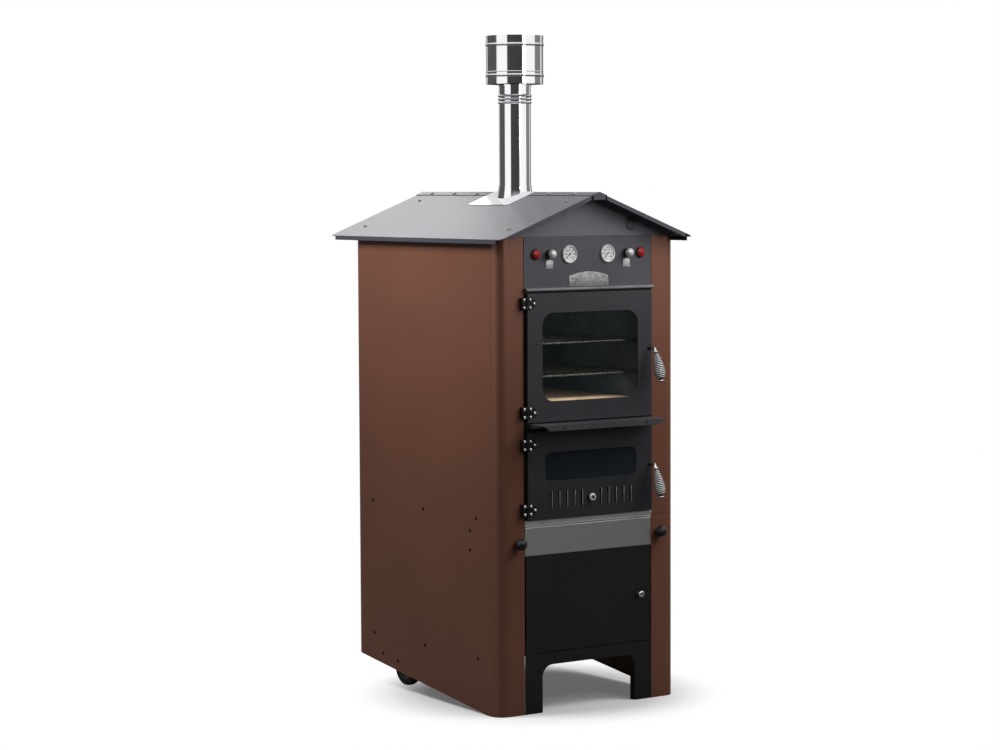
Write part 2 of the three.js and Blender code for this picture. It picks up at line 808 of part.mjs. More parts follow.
// Pilot lights: a round bezel with a domed lens
const pilotBezelRadius = 18;
const pilotBezelDepth = 4;
const pilotLensRadius = 12.5;
const pilotLensRise = 7;
const pilotBodyDepth = 26;
const pilotDome = Array.from({ length: arcSteps }, (_, i) => {
  const angle = (i / arcSteps) * Math.PI / 2;
  return [pilotLensRadius * Math.cos(angle), fitGap + pilotBezelDepth + pilotLensRise * Math.sin(angle)];
});
const pilotProfile = [
  [0, -pilotBodyDepth],
  [pilotBodyRadius, -pilotBodyDepth],
  [pilotBodyRadius, fitGap],
  [pilotBezelRadius, fitGap],
  [pilotBezelRadius - pilotBezelDepth / 2, fitGap + pilotBezelDepth],
  ...pilotDome,
  [0, fitGap + pilotBezelDepth + pilotLensRise],
];
for (const [side, hand] of [[-1, 'left'], [1, 'right']]) {
  const knob = turnedForward(knobProfile, side * knobPlaceX, controlHeight);
  part(controls, `${hand}_knob`, knob, blackPlastic);
  const pilot = turnedForward(pilotProfile, side * pilotPlaceX, controlHeight);
  part(controls, `${hand}_pilot_light`, pilot, redLens);
}

// Doors in front, frame behind: their shared places
const doorSideGap = 6;
const doorStand = 12;
const doorDepth = 14;
const doorSheet = 2.5;
const doorTopGap = 5;
const doorsGap = 29.5;
const fireDoorHeight = 276;
const fireDoorRise = 16;
const doorHalf = frontOpeningWidth / 2 - doorSideGap;
const doorFace = -doorStand;
const fireDoorBottom = seamHeight + fireDoorRise;
const fireDoorTop = fireDoorBottom + fireDoorHeight;
const ovenDoorBottom = fireDoorTop + doorsGap;
const ovenDoorTop = ledgeBottom - doorTopGap;
const hingeRadius = 4;
const hingeOffset = 5;
const hingeX = -(doorHalf + hingeOffset);
const hingeY = doorFace - hingeRadius;
const hingePinRadius = 2.2;
const hingeHeight = 39;
const ovenUpperHingeDrop = 31;
const ovenLowerHingeRise = 30.5;
const fireUpperHingeDrop = 40;
const fireLowerHingeRise = 32.5;
const hingePlaces = {
  oven_upper: ovenDoorTop - ovenUpperHingeDrop,
  oven_lower: ovenDoorBottom + ovenLowerHingeRise,
  firebox_upper: fireDoorTop - fireUpperHingeDrop,
  firebox_lower: fireDoorBottom + fireLowerHingeRise,
};

// Front frame: the plate that the doors close on, with its hinge knuckles
const frameSheet = 3;
const doorSealGap = 4;
const ovenMouthSide = 37;
const ovenMouthRise = 51.5;
const ovenMouthDrop = 30;
const fireMouthSide = 52;
const fireMouthRise = 23;
const fireMouthDrop = 29;
const frameFace = doorFace + doorDepth + doorSealGap;
const ovenMouthHalf = doorHalf - ovenMouthSide;
const ovenMouthBottom = ovenDoorBottom + ovenMouthRise;
const ovenMouthTop = ovenDoorTop - ovenMouthDrop;
const fireMouthHalf = doorHalf - fireMouthSide;
const fireMouthBottom = fireDoorBottom + fireMouthRise;
const fireMouthTop = fireDoorTop - fireMouthDrop;
const mouthRadius = 12;
const tabSheet = 3.6;
const knuckleShare = 0.3;
const frameHigh = ledgeBottom - fitGap;
const frameLow = seamHeight + fitGap;
const frameBack = frameFace + frameSheet;
const frameOutline = [
  [-sheetHalf, frameLow],
  [sheetHalf, frameLow],
  [sheetHalf, frameHigh],
  [-sheetHalf, frameHigh],
];
const framePlate = alongY(frameOutline, frameFace, frameBack, [
  roundedRectangle(-ovenMouthHalf, ovenMouthHalf, ovenMouthBottom, ovenMouthTop, mouthRadius, bendSteps),
  roundedRectangle(-fireMouthHalf, fireMouthHalf, fireMouthBottom, fireMouthTop, mouthRadius, bendSteps),
]);
const knuckleLength = hingeHeight * knuckleShare;
const tabLow = -sheetHalf;
const tabHigh = tabLow + tabSheet;
const knuckles = Object.values(hingePlaces).flatMap((height) => [-1, 1].flatMap((end) => {
  const low = end < 0 ? height - hingeHeight / 2 : height + hingeHeight / 2 - knuckleLength;
  const high = low + knuckleLength;
  return [
    barZ(hingeX, hingeY, low, high, hingeRadius, smallSides),
    block(tabLow, tabHigh, hingeY, frameFace + frameSheet / 2, low, high),
  ];
}));
const pins = Object.values(hingePlaces).map((height) => (
  barZ(hingeX, hingeY, height - hingeHeight / 2, height + hingeHeight / 2, hingePinRadius, smallSides)
));
part(doors, 'front_frame', join(framePlate, ...knuckles, ...pins), blackPaint);

// Hinge leaves: a middle knuckle with a pointed strap screwed on the door
const leafSheet = 3;
const leafReach = 34;
const leafNoseShare = 0.45;
const leafShoulderShare = 0.55;
const leafFace = doorFace - fitGap - leafSheet;
function hingeLeaf(height) {
  const half = hingeHeight / 2;
  const middle = half - knuckleLength - fitGap;
  const shoulder = hingeX + leafReach * leafShoulderShare;
  const tip = hingeX + leafReach;
  const root = hingeX + hingeRadius + fitGap;
  const strap = alongY(
    [
      [root, height - half],
      [shoulder, height - half],
      [tip, height - half * leafNoseShare],
      [tip, height + half * leafNoseShare],
      [shoulder, height + half],
      [root, height + half],
    ],
    leafFace,
    leafFace + leafSheet,
  );
  const neck = block(hingeX, root + fitGap, leafFace, leafFace + leafSheet, height - middle, height + middle);
  const knuckle = barZ(hingeX, hingeY, height - middle, height + middle, hingeRadius, smallSides);
  const bore = barZ(hingeX, hingeY, height - half, height + half, hingePinRadius + fitGap, smallSides);
  return cut(join(strap, neck, knuckle), bore);
}
for (const [place, height] of Object.entries(hingePlaces)) {
  part(doors, `${place}_hinge_leaf`, hingeLeaf(height), chromePlate);
}

// Doors: a folded pan with a window and glass held in channels behind it
const windowSide = 56;
const windowRise = 63.5;
const windowDrop = 61.5;
const windowRadius = 42;
const fireWindowSide = 65;
const fireWindowRise = 119;
const fireWindowDrop = 67;
const fireWindowRadius = 20;
const windowHalf = doorHalf - windowSide;
const windowBottom = ovenDoorBottom + windowRise;
const windowTop = ovenDoorTop - windowDrop;
const fireWindowHalf = doorHalf - fireWindowSide;
const fireWindowBottom = fireDoorBottom + fireWindowRise;
const fireWindowTop = fireDoorTop - fireWindowDrop;
const glassSheet = 4;
const glassLap = 12;
const channelSheet = 2;
const channelLap = 5;
const doorBack = doorFace + doorDepth;
const doorInner = doorFace + doorSheet;
const glassFace = doorInner + fitGap;
const glassBack = glassFace + glassSheet;

function doorPan(bottom, top) {
  const shell = block(-doorHalf, doorHalf, doorFace, doorBack, bottom, top);
  const hollow = block(
    -doorHalf + doorSheet, doorHalf - doorSheet, doorInner, doorBack + cutOver,
    bottom + doorSheet, top - doorSheet,
  );
  return cut(shell, hollow);
}

// Two level channels hold the glass at its upper and lower edge
function glassChannels(half, bottom, top) {
  const channel = (edge, way) => {
    const outer = edge + way * (channelSheet + fitGap);
    const inner = edge - way * channelLap;
    const back = glassBack + fitGap;
    const start = edge + way * fitGap;
    return join(
      block(-half, half, doorInner - channelSheet / 2, back + channelSheet, Math.min(start, outer), Math.max(start, outer)),
      block(-half, half, back, back + channelSheet, Math.min(inner, outer), Math.max(inner, outer)),
    );
  };
  return join(channel(bottom, -1), channel(top, 1));
}

function glassPane(half, bottom, top) {
  return block(-half, half, glassFace, glassBack, bottom, top);
}

// The handle's pivot hole near the free edge of each door
const handleInset = 8;
const handleRodRadius = 4.5;
const handlePivotX = doorHalf - handleInset;
const ovenHandleDrop = 184;
const fireHandleDrop = 125;
const ovenHandleHeight = ovenDoorTop - ovenHandleDrop;
const fireHandleHeight = fireDoorTop - fireHandleDrop;
function pivotHole(height) {
  return barY(
    handlePivotX, height, doorFace - cutOver, doorInner + cutOver / 2, handleRodRadius + runGap, roundSides,
  );
}

const ovenWindow = alongY(
  roundedRectangle(-windowHalf, windowHalf, windowBottom, windowTop, windowRadius),
  doorFace - cutOver,
  doorInner + cutOver / 2,
);
const ovenGlassBottom = windowBottom - glassLap;
const ovenGlassTop = windowTop + glassLap;
const ovenGlassHalf = windowHalf + glassLap;
part(
  doors,
  'oven_door',
  cut(
    join(doorPan(ovenDoorBottom, ovenDoorTop), glassChannels(ovenGlassHalf, ovenGlassBottom, ovenGlassTop)),
    ovenWindow,
    pivotHole(ovenHandleHeight),
  ),
  blackPaint,
);
part(doors, 'oven_door_glass', glassPane(ovenGlassHalf, ovenGlassBottom, ovenGlassTop), doorGlass);

// Firebox door with ten air slots and a sliding shutter behind them
const slotWidth = 6;
const slotHeight = 52;
const slotDrop = 60;
const slotMiddle = fireWindowBottom - slotDrop;
const firstSlot = 37;
const slotsPerSide = 5;
const shutterSheet = 2;
const shutterSide = 9;
const shutterHalf = fireWindowHalf - shutterSide;
const shutterMargin = 7;
const shutterTravel = 13;
const slotPitch = (shutterHalf - shutterTravel - firstSlot) / (slotsPerSide - 1);
const shutterRail = 3;
const shutterStemRadius = 3;
const shutterKnobRadius = 12;
const shutterKnobDepth = 9;
const shutterKnobStand = 3;
const fireGlassBottom = fireWindowBottom - glassLap;
const fireGlassTop = fireWindowTop + glassLap;
const fireGlassHalf = fireWindowHalf + glassLap;
const shutterLow = slotMiddle - slotHeight / 2 - shutterMargin;
const shutterHigh = slotMiddle + slotHeight / 2 + shutterMargin;
const shutterFront = doorInner + fitGap;
const shutterBack = shutterFront + shutterSheet;
function airSlots(low, high) {
  const slots = [];
  for (const side of [-1, 1]) {
    for (let i = 0; i < slotsPerSide; i += 1) {
      const x = side * (firstSlot + i * slotPitch);
      slots.push(alongY(
        roundedRectangle(
          x - slotWidth / 2, x + slotWidth / 2,
          slotMiddle - slotHeight / 2, slotMiddle + slotHeight / 2,
          slotWidth / 2, bendSteps,
        ),
        low,
        high,
      ));
    }
  }
  return slots;
}
const stemSlotHalf = shutterTravel + shutterStemRadius + runGap;
const stemSlot = alongY(
  roundedRectangle(
    -stemSlotHalf, stemSlotHalf,
    slotMiddle - shutterStemRadius - runGap, slotMiddle + shutterStemRadius + runGap,
    shutterStemRadius, bendSteps,
  ),
  doorFace - cutOver,
  doorInner + cutOver / 2,
);
const shutterRails = [shutterLow - fitGap - shutterRail, shutterHigh + fitGap].map((low) => join(
  block(
    -shutterHalf - shutterTravel, shutterHalf + shutterTravel,
    doorInner - channelSheet / 2, shutterBack + fitGap + channelSheet, low, low + shutterRail,
  ),
  block(
    -shutterHalf - shutterTravel, shutterHalf + shutterTravel,
    shutterBack + fitGap, shutterBack + fitGap + channelSheet,
    low < slotMiddle ? low : low - shutterRail, low < slotMiddle ? low + shutterRail * 2 : low + shutterRail,
  ),
));
const fireWindow = alongY(
  roundedRectangle(-fireWindowHalf, fireWindowHalf, fireWindowBottom, fireWindowTop, fireWindowRadius),
  doorFace - cutOver,
  doorInner + cutOver / 2,
);
part(
  doors,
  'firebox_door',
  cut(
    join(
      doorPan(fireDoorBottom, fireDoorTop),
      glassChannels(fireGlassHalf, fireGlassBottom, fireGlassTop),
      ...shutterRails,
    ),
    fireWindow,
    stemSlot,
    pivotHole(fireHandleHeight),
    ...airSlots(doorFace - cutOver, doorInner + cutOver / 2),
  ),
  blackPaint,
);
part(doors, 'firebox_door_glass', glassPane(fireGlassHalf, fireGlassBottom, fireGlassTop), doorGlass);

const shutterKnob = turnedForward(
  [
    [0, -shutterBack + shutterSheet / 2],
    [shutterStemRadius, -shutterBack + shutterSheet / 2],
    [shutterStemRadius, -doorFace + shutterKnobStand],
    [shutterKnobRadius * 2 / 3, -doorFace + shutterKnobStand],
    [shutterKnobRadius, -doorFace + shutterKnobStand + shutterKnobDepth / 3],
    [shutterKnobRadius, -doorFace + shutterKnobStand + shutterKnobDepth * 2 / 3],
    [shutterKnobRadius * 2 / 3, -doorFace + shutterKnobStand + shutterKnobDepth],
    [0, -doorFace + shutterKnobStand + shutterKnobDepth],
  ],
  0,
  slotMiddle,
);
const shutterPlate = block(-shutterHalf, shutterHalf, shutterFront, shutterBack, shutterLow, shutterHigh);
part(
  doors,
  'air_shutter',
  join(cut(shutterPlate, ...airSlots(shutterFront - cutOver / 2, shutterBack + cutOver / 2)), shutterKnob),
  satinSteel,
);

// Door handles: a bent rod through the door, wrapped in a drop-shaped coil spring
const handleStand = 17;
const handleBend = 12;
const handleLean = THREE.MathUtils.degToRad(18);
const handleTip = 2;
const coilStart = 8;
const coilCurls = 14;
const coilPitch = 5.75;
const coilWire = 4.5;
const coilReachShare = 1.2;
const coilGreatest = 17.5;
const coilGreatestShare = 0.76;
const coilSteps = 8;
const coilSides = 5;
const collarDepth = 3;
const collarSize = 10.6;
const latchLength = 26;
const latchWidth = 10;
const latchSheet = 2.5;
const handleBendSteps = 5;
const coilTurnSteps = 3;

// Down the leaning part of the handle, measured from the end of its bend
const bendMiddleY = doorFace - handleStand;
const leanWay = new THREE.Vector3(0, -Math.sin(handleLean), -Math.cos(handleLean));
const bendSweep = Math.PI / 2 - handleLean;
const rodPoints = [new THREE.Vector3(0, doorBack + latchSheet, 0)];
for (let i = 0; i <= handleBendSteps; i += 1) {
  const angle = (i / handleBendSteps) * bendSweep;
  rodPoints.push(new THREE.Vector3(
    0,
    bendMiddleY - handleBend * Math.sin(angle),
    -handleBend * (1 - Math.cos(angle)),
  ));
}
const bendEnd = rodPoints[rodPoints.length - 1].clone();
const alongHandle = (distance) => bendEnd.clone().addScaledVector(leanWay, distance);
// Turns a shape drawn about +Z, from zero, into the lean of the handle
function leaned(shape, distance) {
  const place = alongHandle(distance);
  const geometry = geometryOf(shape);
  geometry.rotateX(Math.PI - handleLean);
  geometry.translate(place.x, place.y, place.z);
  return solid(geometry);
}
const coilLength = coilCurls * coilPitch;
const coilLeast = (handleRodRadius + coilWire / 2 + runGap) / Math.cos(Math.PI / coilSteps);
const coilReach = coilWire * coilReachShare;
const coilEnd = coilStart + coilLength + coilReach * 2;
rodPoints.push(alongHandle(coilEnd + fitGap + collarDepth + handleTip));
function coilRadiusAt(share) {
  if (share < coilGreatestShare) {
    return THREE.MathUtils.lerp(coilLeast, coilGreatest, Math.sin(share / coilGreatestShare * Math.PI / 2));
  }
  const rest = (share - coilGreatestShare) / (1 - coilGreatestShare);
  return THREE.MathUtils.lerp(coilGreatest, coilLeast, rest * rest);
}
function coilPath() {
  const points = [];
  const count = coilCurls * coilSteps;
  const circle = (i) => {
    const angle = (i / coilSteps) * Math.PI * 2;
    const radius = coilRadiusAt(i / count);
    const height = coilReach + (i / count) * coilLength;
    return new THREE.Vector3(radius * Math.cos(angle), radius * Math.sin(angle), height);
  };
  // Each end turns out of the coil and runs straight to its collar
  const outward = (from, beyond, way) => {
    const tangent = from.clone().sub(beyond).normalize();
    const upright = new THREE.Vector3(0, 0, way);
    const end = [];
    for (let i = 1; i <= coilTurnSteps; i += 1) {
      const angle = (i / coilTurnSteps) * Math.PI / 2;
      end.push(from.clone()
        .addScaledVector(tangent, coilWire * Math.sin(angle))
        .addScaledVector(upright, coilWire * (1 - Math.cos(angle))));
    }
    const last = end[end.length - 1].clone();
    last.z = way < 0 ? 0 : coilLength + coilReach * 2;
    end.push(last);
    return end;
  };
  const helix = Array.from({ length: count + 1 }, (_, i) => circle(i));
  points.push(...outward(helix[0], helix[1], -1).reverse());
  points.push(...helix);
  points.push(...outward(helix[count], helix[count - 1], 1));
  return points;
}
function leastGap(points, wire) {
  const fine = [];
  for (let i = 0; i < points.length - 1; i += 1) {
    for (let step = 0; step < coilSteps; step += 1) {
      fine.push(points[i].clone().lerp(points[i + 1], step / coilSteps));
    }
  }
  const apart = coilSteps * coilSteps / 2;
  let least = Infinity;
  for (let i = 0; i < fine.length; i += 1) {
    for (let j = i + apart; j < fine.length; j += 1) {
      least = Math.min(least, fine[i].distanceTo(fine[j]));
    }
  }
  return least - wire;
}
const coilPoints = coilPath();
console.log(`least gap of the handle coil to itself: ${leastGap(coilPoints, coilWire).toFixed(2)} mm`);
const coilShape = leaned(sweptTube(coilPoints, coilWire / 2, coilSides), coilStart);

const rod = sweptTube(rodPoints, handleRodRadius, smallSides);
const collarDisc = (distance) => leaned(
  solid(turned([[0, 0], [collarSize, 0], [collarSize, collarDepth], [0, collarDepth]], roundSides)),
  distance,
);
const latch = block(
  -latchWidth / 2, latchWidth / 2, doorBack + fitGap, doorBack + fitGap + latchSheet,
  -latchWidth / 2, latchLength,
);
const boss = turnedForward(
  [
    [0, -doorFace + fitGap],
    [handleRodRadius * 2, -doorFace + fitGap],
    [handleRodRadius * 2, -doorFace + fitGap + collarDepth],
    [0, -doorFace + fitGap + collarDepth],
  ],
  0,
  0,
);
const handleShape = join(
  rod,
  collarDisc(coilStart - fitGap - collarDepth),
  collarDisc(coilEnd + fitGap),
  latch,
  boss,
);
for (const [door, height] of [['oven', ovenHandleHeight], ['firebox', fireHandleHeight]]) {
  const handle = new THREE.Group();
  handle.position.set(handlePivotX, 0, height);
  part(handle, `${door}_handle`, handleShape, chromePlate);
  part(handle, `${door}_handle_coil`, coilShape, chromePlate);
  doors.add(handle);
}

// Shelf between the doors: a folded sheet with a front lip and tapered ends
const shelfSideGap = 2;
const shelfTaper = 2;
const shelfReach = 91;
const shelfDrop = 4.5;
const shelfHalf = doorHalf - shelfSideGap;
const shelfFrontHalf = shelfHalf - shelfTaper;
const shelfTop = ovenDoorBottom - shelfDrop;
const shelfLip = 18;
const shelfSheet = 2;
const shelfSideBack = 5;
const shelfChamfer = 26;
const shelfBack = frameFace - fitGap;
const shelfPlate = alongZ(
  [
    [-shelfHalf, shelfBack],
    [-shelfHalf, 0],
    [-shelfFrontHalf, -shelfReach],
    [shelfFrontHalf, -shelfReach],
    [shelfHalf, 0],
    [shelfHalf, shelfBack],
  ],
  shelfTop - shelfSheet,
  shelfTop,
);
const shelfFront = alongY(
  [
    [-shelfFrontHalf, shelfTop - shelfSheet / 2],
    [-shelfFrontHalf, shelfTop - shelfSheet],
    [-shelfFrontHalf + shelfChamfer, shelfTop - shelfLip],
    [shelfFrontHalf - shelfChamfer, shelfTop - shelfLip],
    [shelfFrontHalf, shelfTop - shelfSheet],
    [shelfFrontHalf, shelfTop - shelfSheet / 2],
  ],
  -shelfReach,
  -shelfReach + shelfSheet,
);
const shelfRear = block(
  -shelfHalf, shelfHalf, shelfBack - shelfSheet, shelfBack, shelfTop - shelfLip, shelfTop - shelfSheet / 2,
);
const shelfSide = alongX(
  [
    [shelfBack, shelfTop - shelfLip],
    [shelfBack, shelfTop - shelfSheet / 2],
    [-shelfReach + shelfLip, shelfTop - shelfSheet / 2],
    [-shelfReach + shelfLip, shelfTop - shelfSideBack],
  ],
  shelfFrontHalf - shelfSheet * 2,
  shelfFrontHalf - shelfSheet,
);
part(doors, 'door_shelf', join(shelfPlate, shelfFront, shelfRear, shelfSide, mirrored(shelfSide)), panelPaint);

// Baking chamber: a stainless box, open at the front, with ledges for two racks
const chamberMargin = 12;
const chamberWall = 2;
const chamberFloorDrop = 22;
const chamberRearSpace = 203;
const chamberHalf = ovenMouthHalf + chamberMargin;
const chamberBottom = ovenMouthBottom - chamberFloorDrop;
const chamberTop = ovenMouthTop + chamberMargin;
const chamberBack = bodyDepth - chamberRearSpace;
const ledgeWidth = 12;
const ledgeSheet = 2;
const rackHeightShares = [0.31, 0.6];
const rackHeights = rackHeightShares.map((share) => chamberBottom + share * (chamberTop - chamberBottom));
const rackRodRadius = 3;
const rackWireRadius = 1.8;
const rackWires = 13;
const rackFrontGap = 26;
const rackRearGap = 38;
const rackFront = rackFrontGap;
const rackBack = chamberBack - rackRearGap;
const rackPlay = 3;
const ventRows = 3;
const ventColumns = 2;
const ventLength = 28;
const ventHeight = 5;
const ventPitchY = 38;
const ventPitchZ = 12;
const ventForward = 290;
const ventDrop = 90;
const ventStartY = chamberBack - ventForward;
const ventStartZ = chamberTop - ventDrop;
const chamberFront = frameBack + fitGap;
const chamberInner = chamberHalf - chamberWall;
const rackLedges = rackHeights.flatMap((height) => [-1, 1].map((side) => {
  const wall = side * (chamberInner + chamberWall / 2);
  const tip = side * (chamberInner - ledgeWidth);
  const top = height - rackRodRadius - fitGap;
  return block(
    Math.min(wall, tip), Math.max(wall, tip), chamberFront + ledgeWidth, rackBack + ledgeWidth, top - ledgeSheet, top,
  );
}));
const ventCuts = [];
for (let row = 0; row < ventRows; row += 1) {
  for (let column = 0; column < ventColumns; column += 1) {
    const y = ventStartY + column * ventPitchY;
    const z = ventStartZ + row * ventPitchZ;
    ventCuts.push(block(-chamberHalf - cutOver, chamberHalf + cutOver, y, y + ventLength, z, z + ventHeight));
  }
}
const chamberShell = cut(
  block(-chamberHalf, chamberHalf, chamberFront, chamberBack, chamberBottom, chamberTop),
  block(
    -chamberInner, chamberInner, chamberFront - cutOver, chamberBack - chamberWall,
    chamberBottom + chamberWall, chamberTop - chamberWall,
  ),
);
part(inside, 'baking_chamber', join(cut(chamberShell, ...ventCuts), ...rackLedges), satinSteel);

// Refractory slab on the chamber's floor
const stoneHeight = 25;
const stoneMargin = 4;
const stoneFloor = chamberBottom + chamberWall + fitGap;
part(
  inside,
  'baking_stone',
  block(
    -chamberInner + stoneMargin, chamberInner - stoneMargin, chamberFront + stoneMargin,
    chamberBack - chamberWall - stoneMargin, stoneFloor, stoneFloor + stoneHeight,
  ),
  fireClay,
);

// Wire racks: a closed rod frame, one cross rod and a row of wires
const rackHalf = chamberInner - rackPlay;
function rackFrame(height) {
  const reachX = rackHalf - rackRodRadius;
  const lowY = rackFront + rackRodRadius;
  const highY = rackBack - rackRodRadius;
  const middleY = (lowY + highY) / 2;
  const frame = [
    barX(lowY, height, -rackHalf, rackHalf, rackRodRadius, smallSides),
    barX(highY, height, -rackHalf, rackHalf, rackRodRadius, smallSides),
    barX(middleY, height, -reachX, reachX, rackWireRadius, smallSides),
    barY(-reachX, height, lowY, highY, rackRodRadius, smallSides),
    barY(reachX, height, lowY, highY, rackRodRadius, smallSides),
  ];
  for (let i = 1; i <= rackWires; i += 1) {
    const x = -reachX + i * (reachX * 2) / (rackWires + 1);
    frame.push(barY(x, height + rackWireRadius, lowY, highY, rackWireRadius, wireSides));
  }
  return join(...frame);
}
part(inside, 'lower_rack', rackFrame(rackHeights[0]), satinSteel);
part(inside, 'upper_rack', rackFrame(rackHeights[1]), satinSteel);

// Firebox: a thick box under a wide deck, on two feet, with ledges for its grate
const fireMargin = 15;
const fireWall = 6;
const fireFloorDrop = 11;
const fireRearSpace = 82;
const deckSide = 45;
const deckRearReach = 60;
const deckRise = 35;
const deckSheet = 5;
const smokePortInset = 20;
const smokePortLength = 70;
const smokePortSide = 55;
const grateRise = 87;
const fireHalf = fireMouthHalf + fireMargin;
const fireBottom = fireMouthBottom - fireFloorDrop;
const fireBack = chamberBack - fireRearSpace;
const deckHalf = chamberHalf + deckSide;
const deckBack = chamberBack + deckRearReach;
const deckTop = fireMouthTop + deckRise;
const smokePortHalf = fireHalf - smokePortSide;
const smokePortHigh = fireBack - smokePortInset;
const smokePortLow = smokePortHigh - smokePortLength;
const grateHeight = fireBottom + grateRise;
const grateSheet = 10;
const grateLedge = 12;
const fireFootWidth = 30;
const fireFront = frameBack + fitGap;
const fireBase = seamHeight + fitGap;
const fireInner = fireHalf - fireWall;
const grateSeat = grateHeight - grateSheet - fitGap;
const grateLedges = [-1, 1].map((side) => {
  const wall = side * (fireInner + fireWall / 2);
  const tip = side * (fireInner - grateLedge);
  return block(
    Math.min(wall, tip), Math.max(wall, tip), fireFront, fireBack - fireWall / 2, grateSeat - fireWall, grateSeat,
  );
});
const fireFeet = [-1, 1].map((side) => {
  const outer = side * fireHalf;
  const inner = side * (fireHalf - fireFootWidth);
  return block(
    Math.min(outer, inner), Math.max(outer, inner), fireFront + fireFootWidth, fireBack,
    fireBase, fireBottom + fireWall / 2,
  );
});
const fireShell = cut(
  join(
    block(-fireHalf, fireHalf, fireFront, fireBack, fireBottom, deckTop - deckSheet / 2),
    block(-deckHalf, deckHalf, fireFront + postReturn, deckBack, deckTop - deckSheet, deckTop),
  ),
  block(
    -fireInner, fireInner, fireFront - cutOver, fireBack - fireWall,
    fireBottom + fireWall, deckTop - deckSheet,
  ),
  block(-smokePortHalf, smokePortHalf, smokePortLow, smokePortHigh, deckTop - deckSheet - cutOver, deckTop + cutOver),
);
part(inside, 'firebox', join(fireShell, ...grateLedges, ...fireFeet), castIron);

// Cast grate with long slots
const grateSlots = 11;
const grateSlotWidth = 12;
const grateRim = 22;
const grateHalf = fireInner - runGap * 2;
const grateFront = fireFront + grateLedge;
const grateBack = fireBack - fireWall - runGap * 2;
const grateCuts = Array.from({ length: grateSlots }, (_, i) => {
  const x = -grateHalf + grateRim + (i + 0.5) * (grateHalf - grateRim) * 2 / grateSlots;
  const middle = (grateFront + grateBack) / 2;
  return [
    block(
      x - grateSlotWidth / 2, x + grateSlotWidth / 2, grateFront + grateRim, middle - grateRim / 2,
      grateHeight - grateSheet - cutOver, grateHeight + cutOver,
    ),
    block(
      x - grateSlotWidth / 2, x + grateSlotWidth / 2, middle + grateRim / 2, grateBack - grateRim,
      grateHeight - grateSheet - cutOver, grateHeight + cutOver,
    ),
  ];
}).flat();
part(
  inside,
  'fire_grate',
  cut(
    block(-grateHalf, grateHalf, grateFront, grateBack, grateHeight - grateSheet, grateHeight),
    ...grateCuts,
  ),
  castIron,
);

// Ash pan on the firebox floor, with a pull lip
const ashSideGap = 35;
const ashFront = 24;
const ashRearGap = 40;
const ashHalf = fireHalf - ashSideGap;
const ashBack = fireBack - ashRearGap;
const ashHeight = 46;
const ashSheet = 2;
const ashLip = 14;
const ashFloor = fireBottom + fireWall + fitGap;
const ashPan = join(
  cut(
    block(-ashHalf, ashHalf, ashFront, ashBack, ashFloor, ashFloor + ashHeight),
    block(
      -ashHalf + ashSheet, ashHalf - ashSheet, ashFront + ashSheet, ashBack - ashSheet,
      ashFloor + ashSheet, ashFloor + ashHeight + cutOver,
    ),
  ),
  block(
    -ashLip * 2, ashLip * 2, ashFront - ashLip + ashSheet, ashFront + ashSheet / 2,
    ashFloor + ashHeight - ashSheet, ashFloor + ashHeight,
  ),
);
part(inside, 'ash_pan', ashPan, zincSteel);

// Smoke jacket: a box over the baking chamber, open below, with a collar for the flue
const jacketInset = 10;
const jacketWall = 2;
const jacketFront = 40;
const jacketPipeGap = 6;
const jacketHalf = deckHalf - jacketInset;
const jacketBack = deckBack - jacketInset;
const jacketTop = flueBottom - jacketPipeGap;
const jacketCollar = 40;
const jacketBottom = deckTop + fitGap;
const collarWall = flueRadius + runGap + jacketWall;
const jacketMouth = cut(
  block(-chamberHalf - runGap, chamberHalf + runGap, jacketFront - cutOver, jacketFront + jacketWall + cutOver,
    chamberBottom - runGap, chamberTop + runGap),
);
const jacket = cut(
  join(
    cut(
      block(-jacketHalf, jacketHalf, jacketFront, jacketBack, jacketBottom, jacketTop),
      block(
        -jacketHalf + jacketWall, jacketHalf - jacketWall, jacketFront + jacketWall, jacketBack - jacketWall,
        jacketBottom - cutOver, jacketTop - jacketWall,
      ),
    ),
    barZ(0, flueY, jacketTop - jacketWall / 2, jacketTop + jacketCollar, collarWall, finestSides),
  ),
  jacketMouth,
  barZ(0, flueY, jacketTop - jacketWall - cutOver, jacketTop + jacketCollar + cutOver, flueRadius + runGap, finestSides),
);
part(inside, 'smoke_jacket', jacket, zincSteel);

// Cart top under the oven
const cartSheet = 3;
const cartFront = postReturn + fitGap;
const cartBack = backFace - backSheet - fitGap;
const cartHalf = halfBody - casingSheet - fitGap;
const cartCorner = cornerRadius;
const cartTop = seamHeight;
part(
  cart,
  'cart_top_plate',
  alongZ(
    roundedRectangle(-cartHalf, cartHalf, cartFront, cartBack, cartCorner, bendSteps * 2),
    cartTop - cartSheet,
    cartTop,
  ),
  zincSteel,
);

// Stainless strip that covers the seam under the firebox door
const stripDrop = 4.5;
const stripHeight = 18.5;
const stripLow = seamHeight - stripDrop;
const stripHigh = stripLow + stripHeight;
const stripSheet = 2;
const stripSlope = 3;
part(
  cart,
  'seam_strip',
  alongX(
    [
      [frameFace - fitGap, stripHigh],
      [-stripSlope, stripHigh],
      [0, stripLow],
      [stripSheet, stripLow],
      [stripSheet, stripHigh - stripSheet],
      [frameFace - fitGap, stripHigh - stripSheet],
    ],
    -sheetHalf,
    sheetHalf,
  ),
  satinSteel,
);

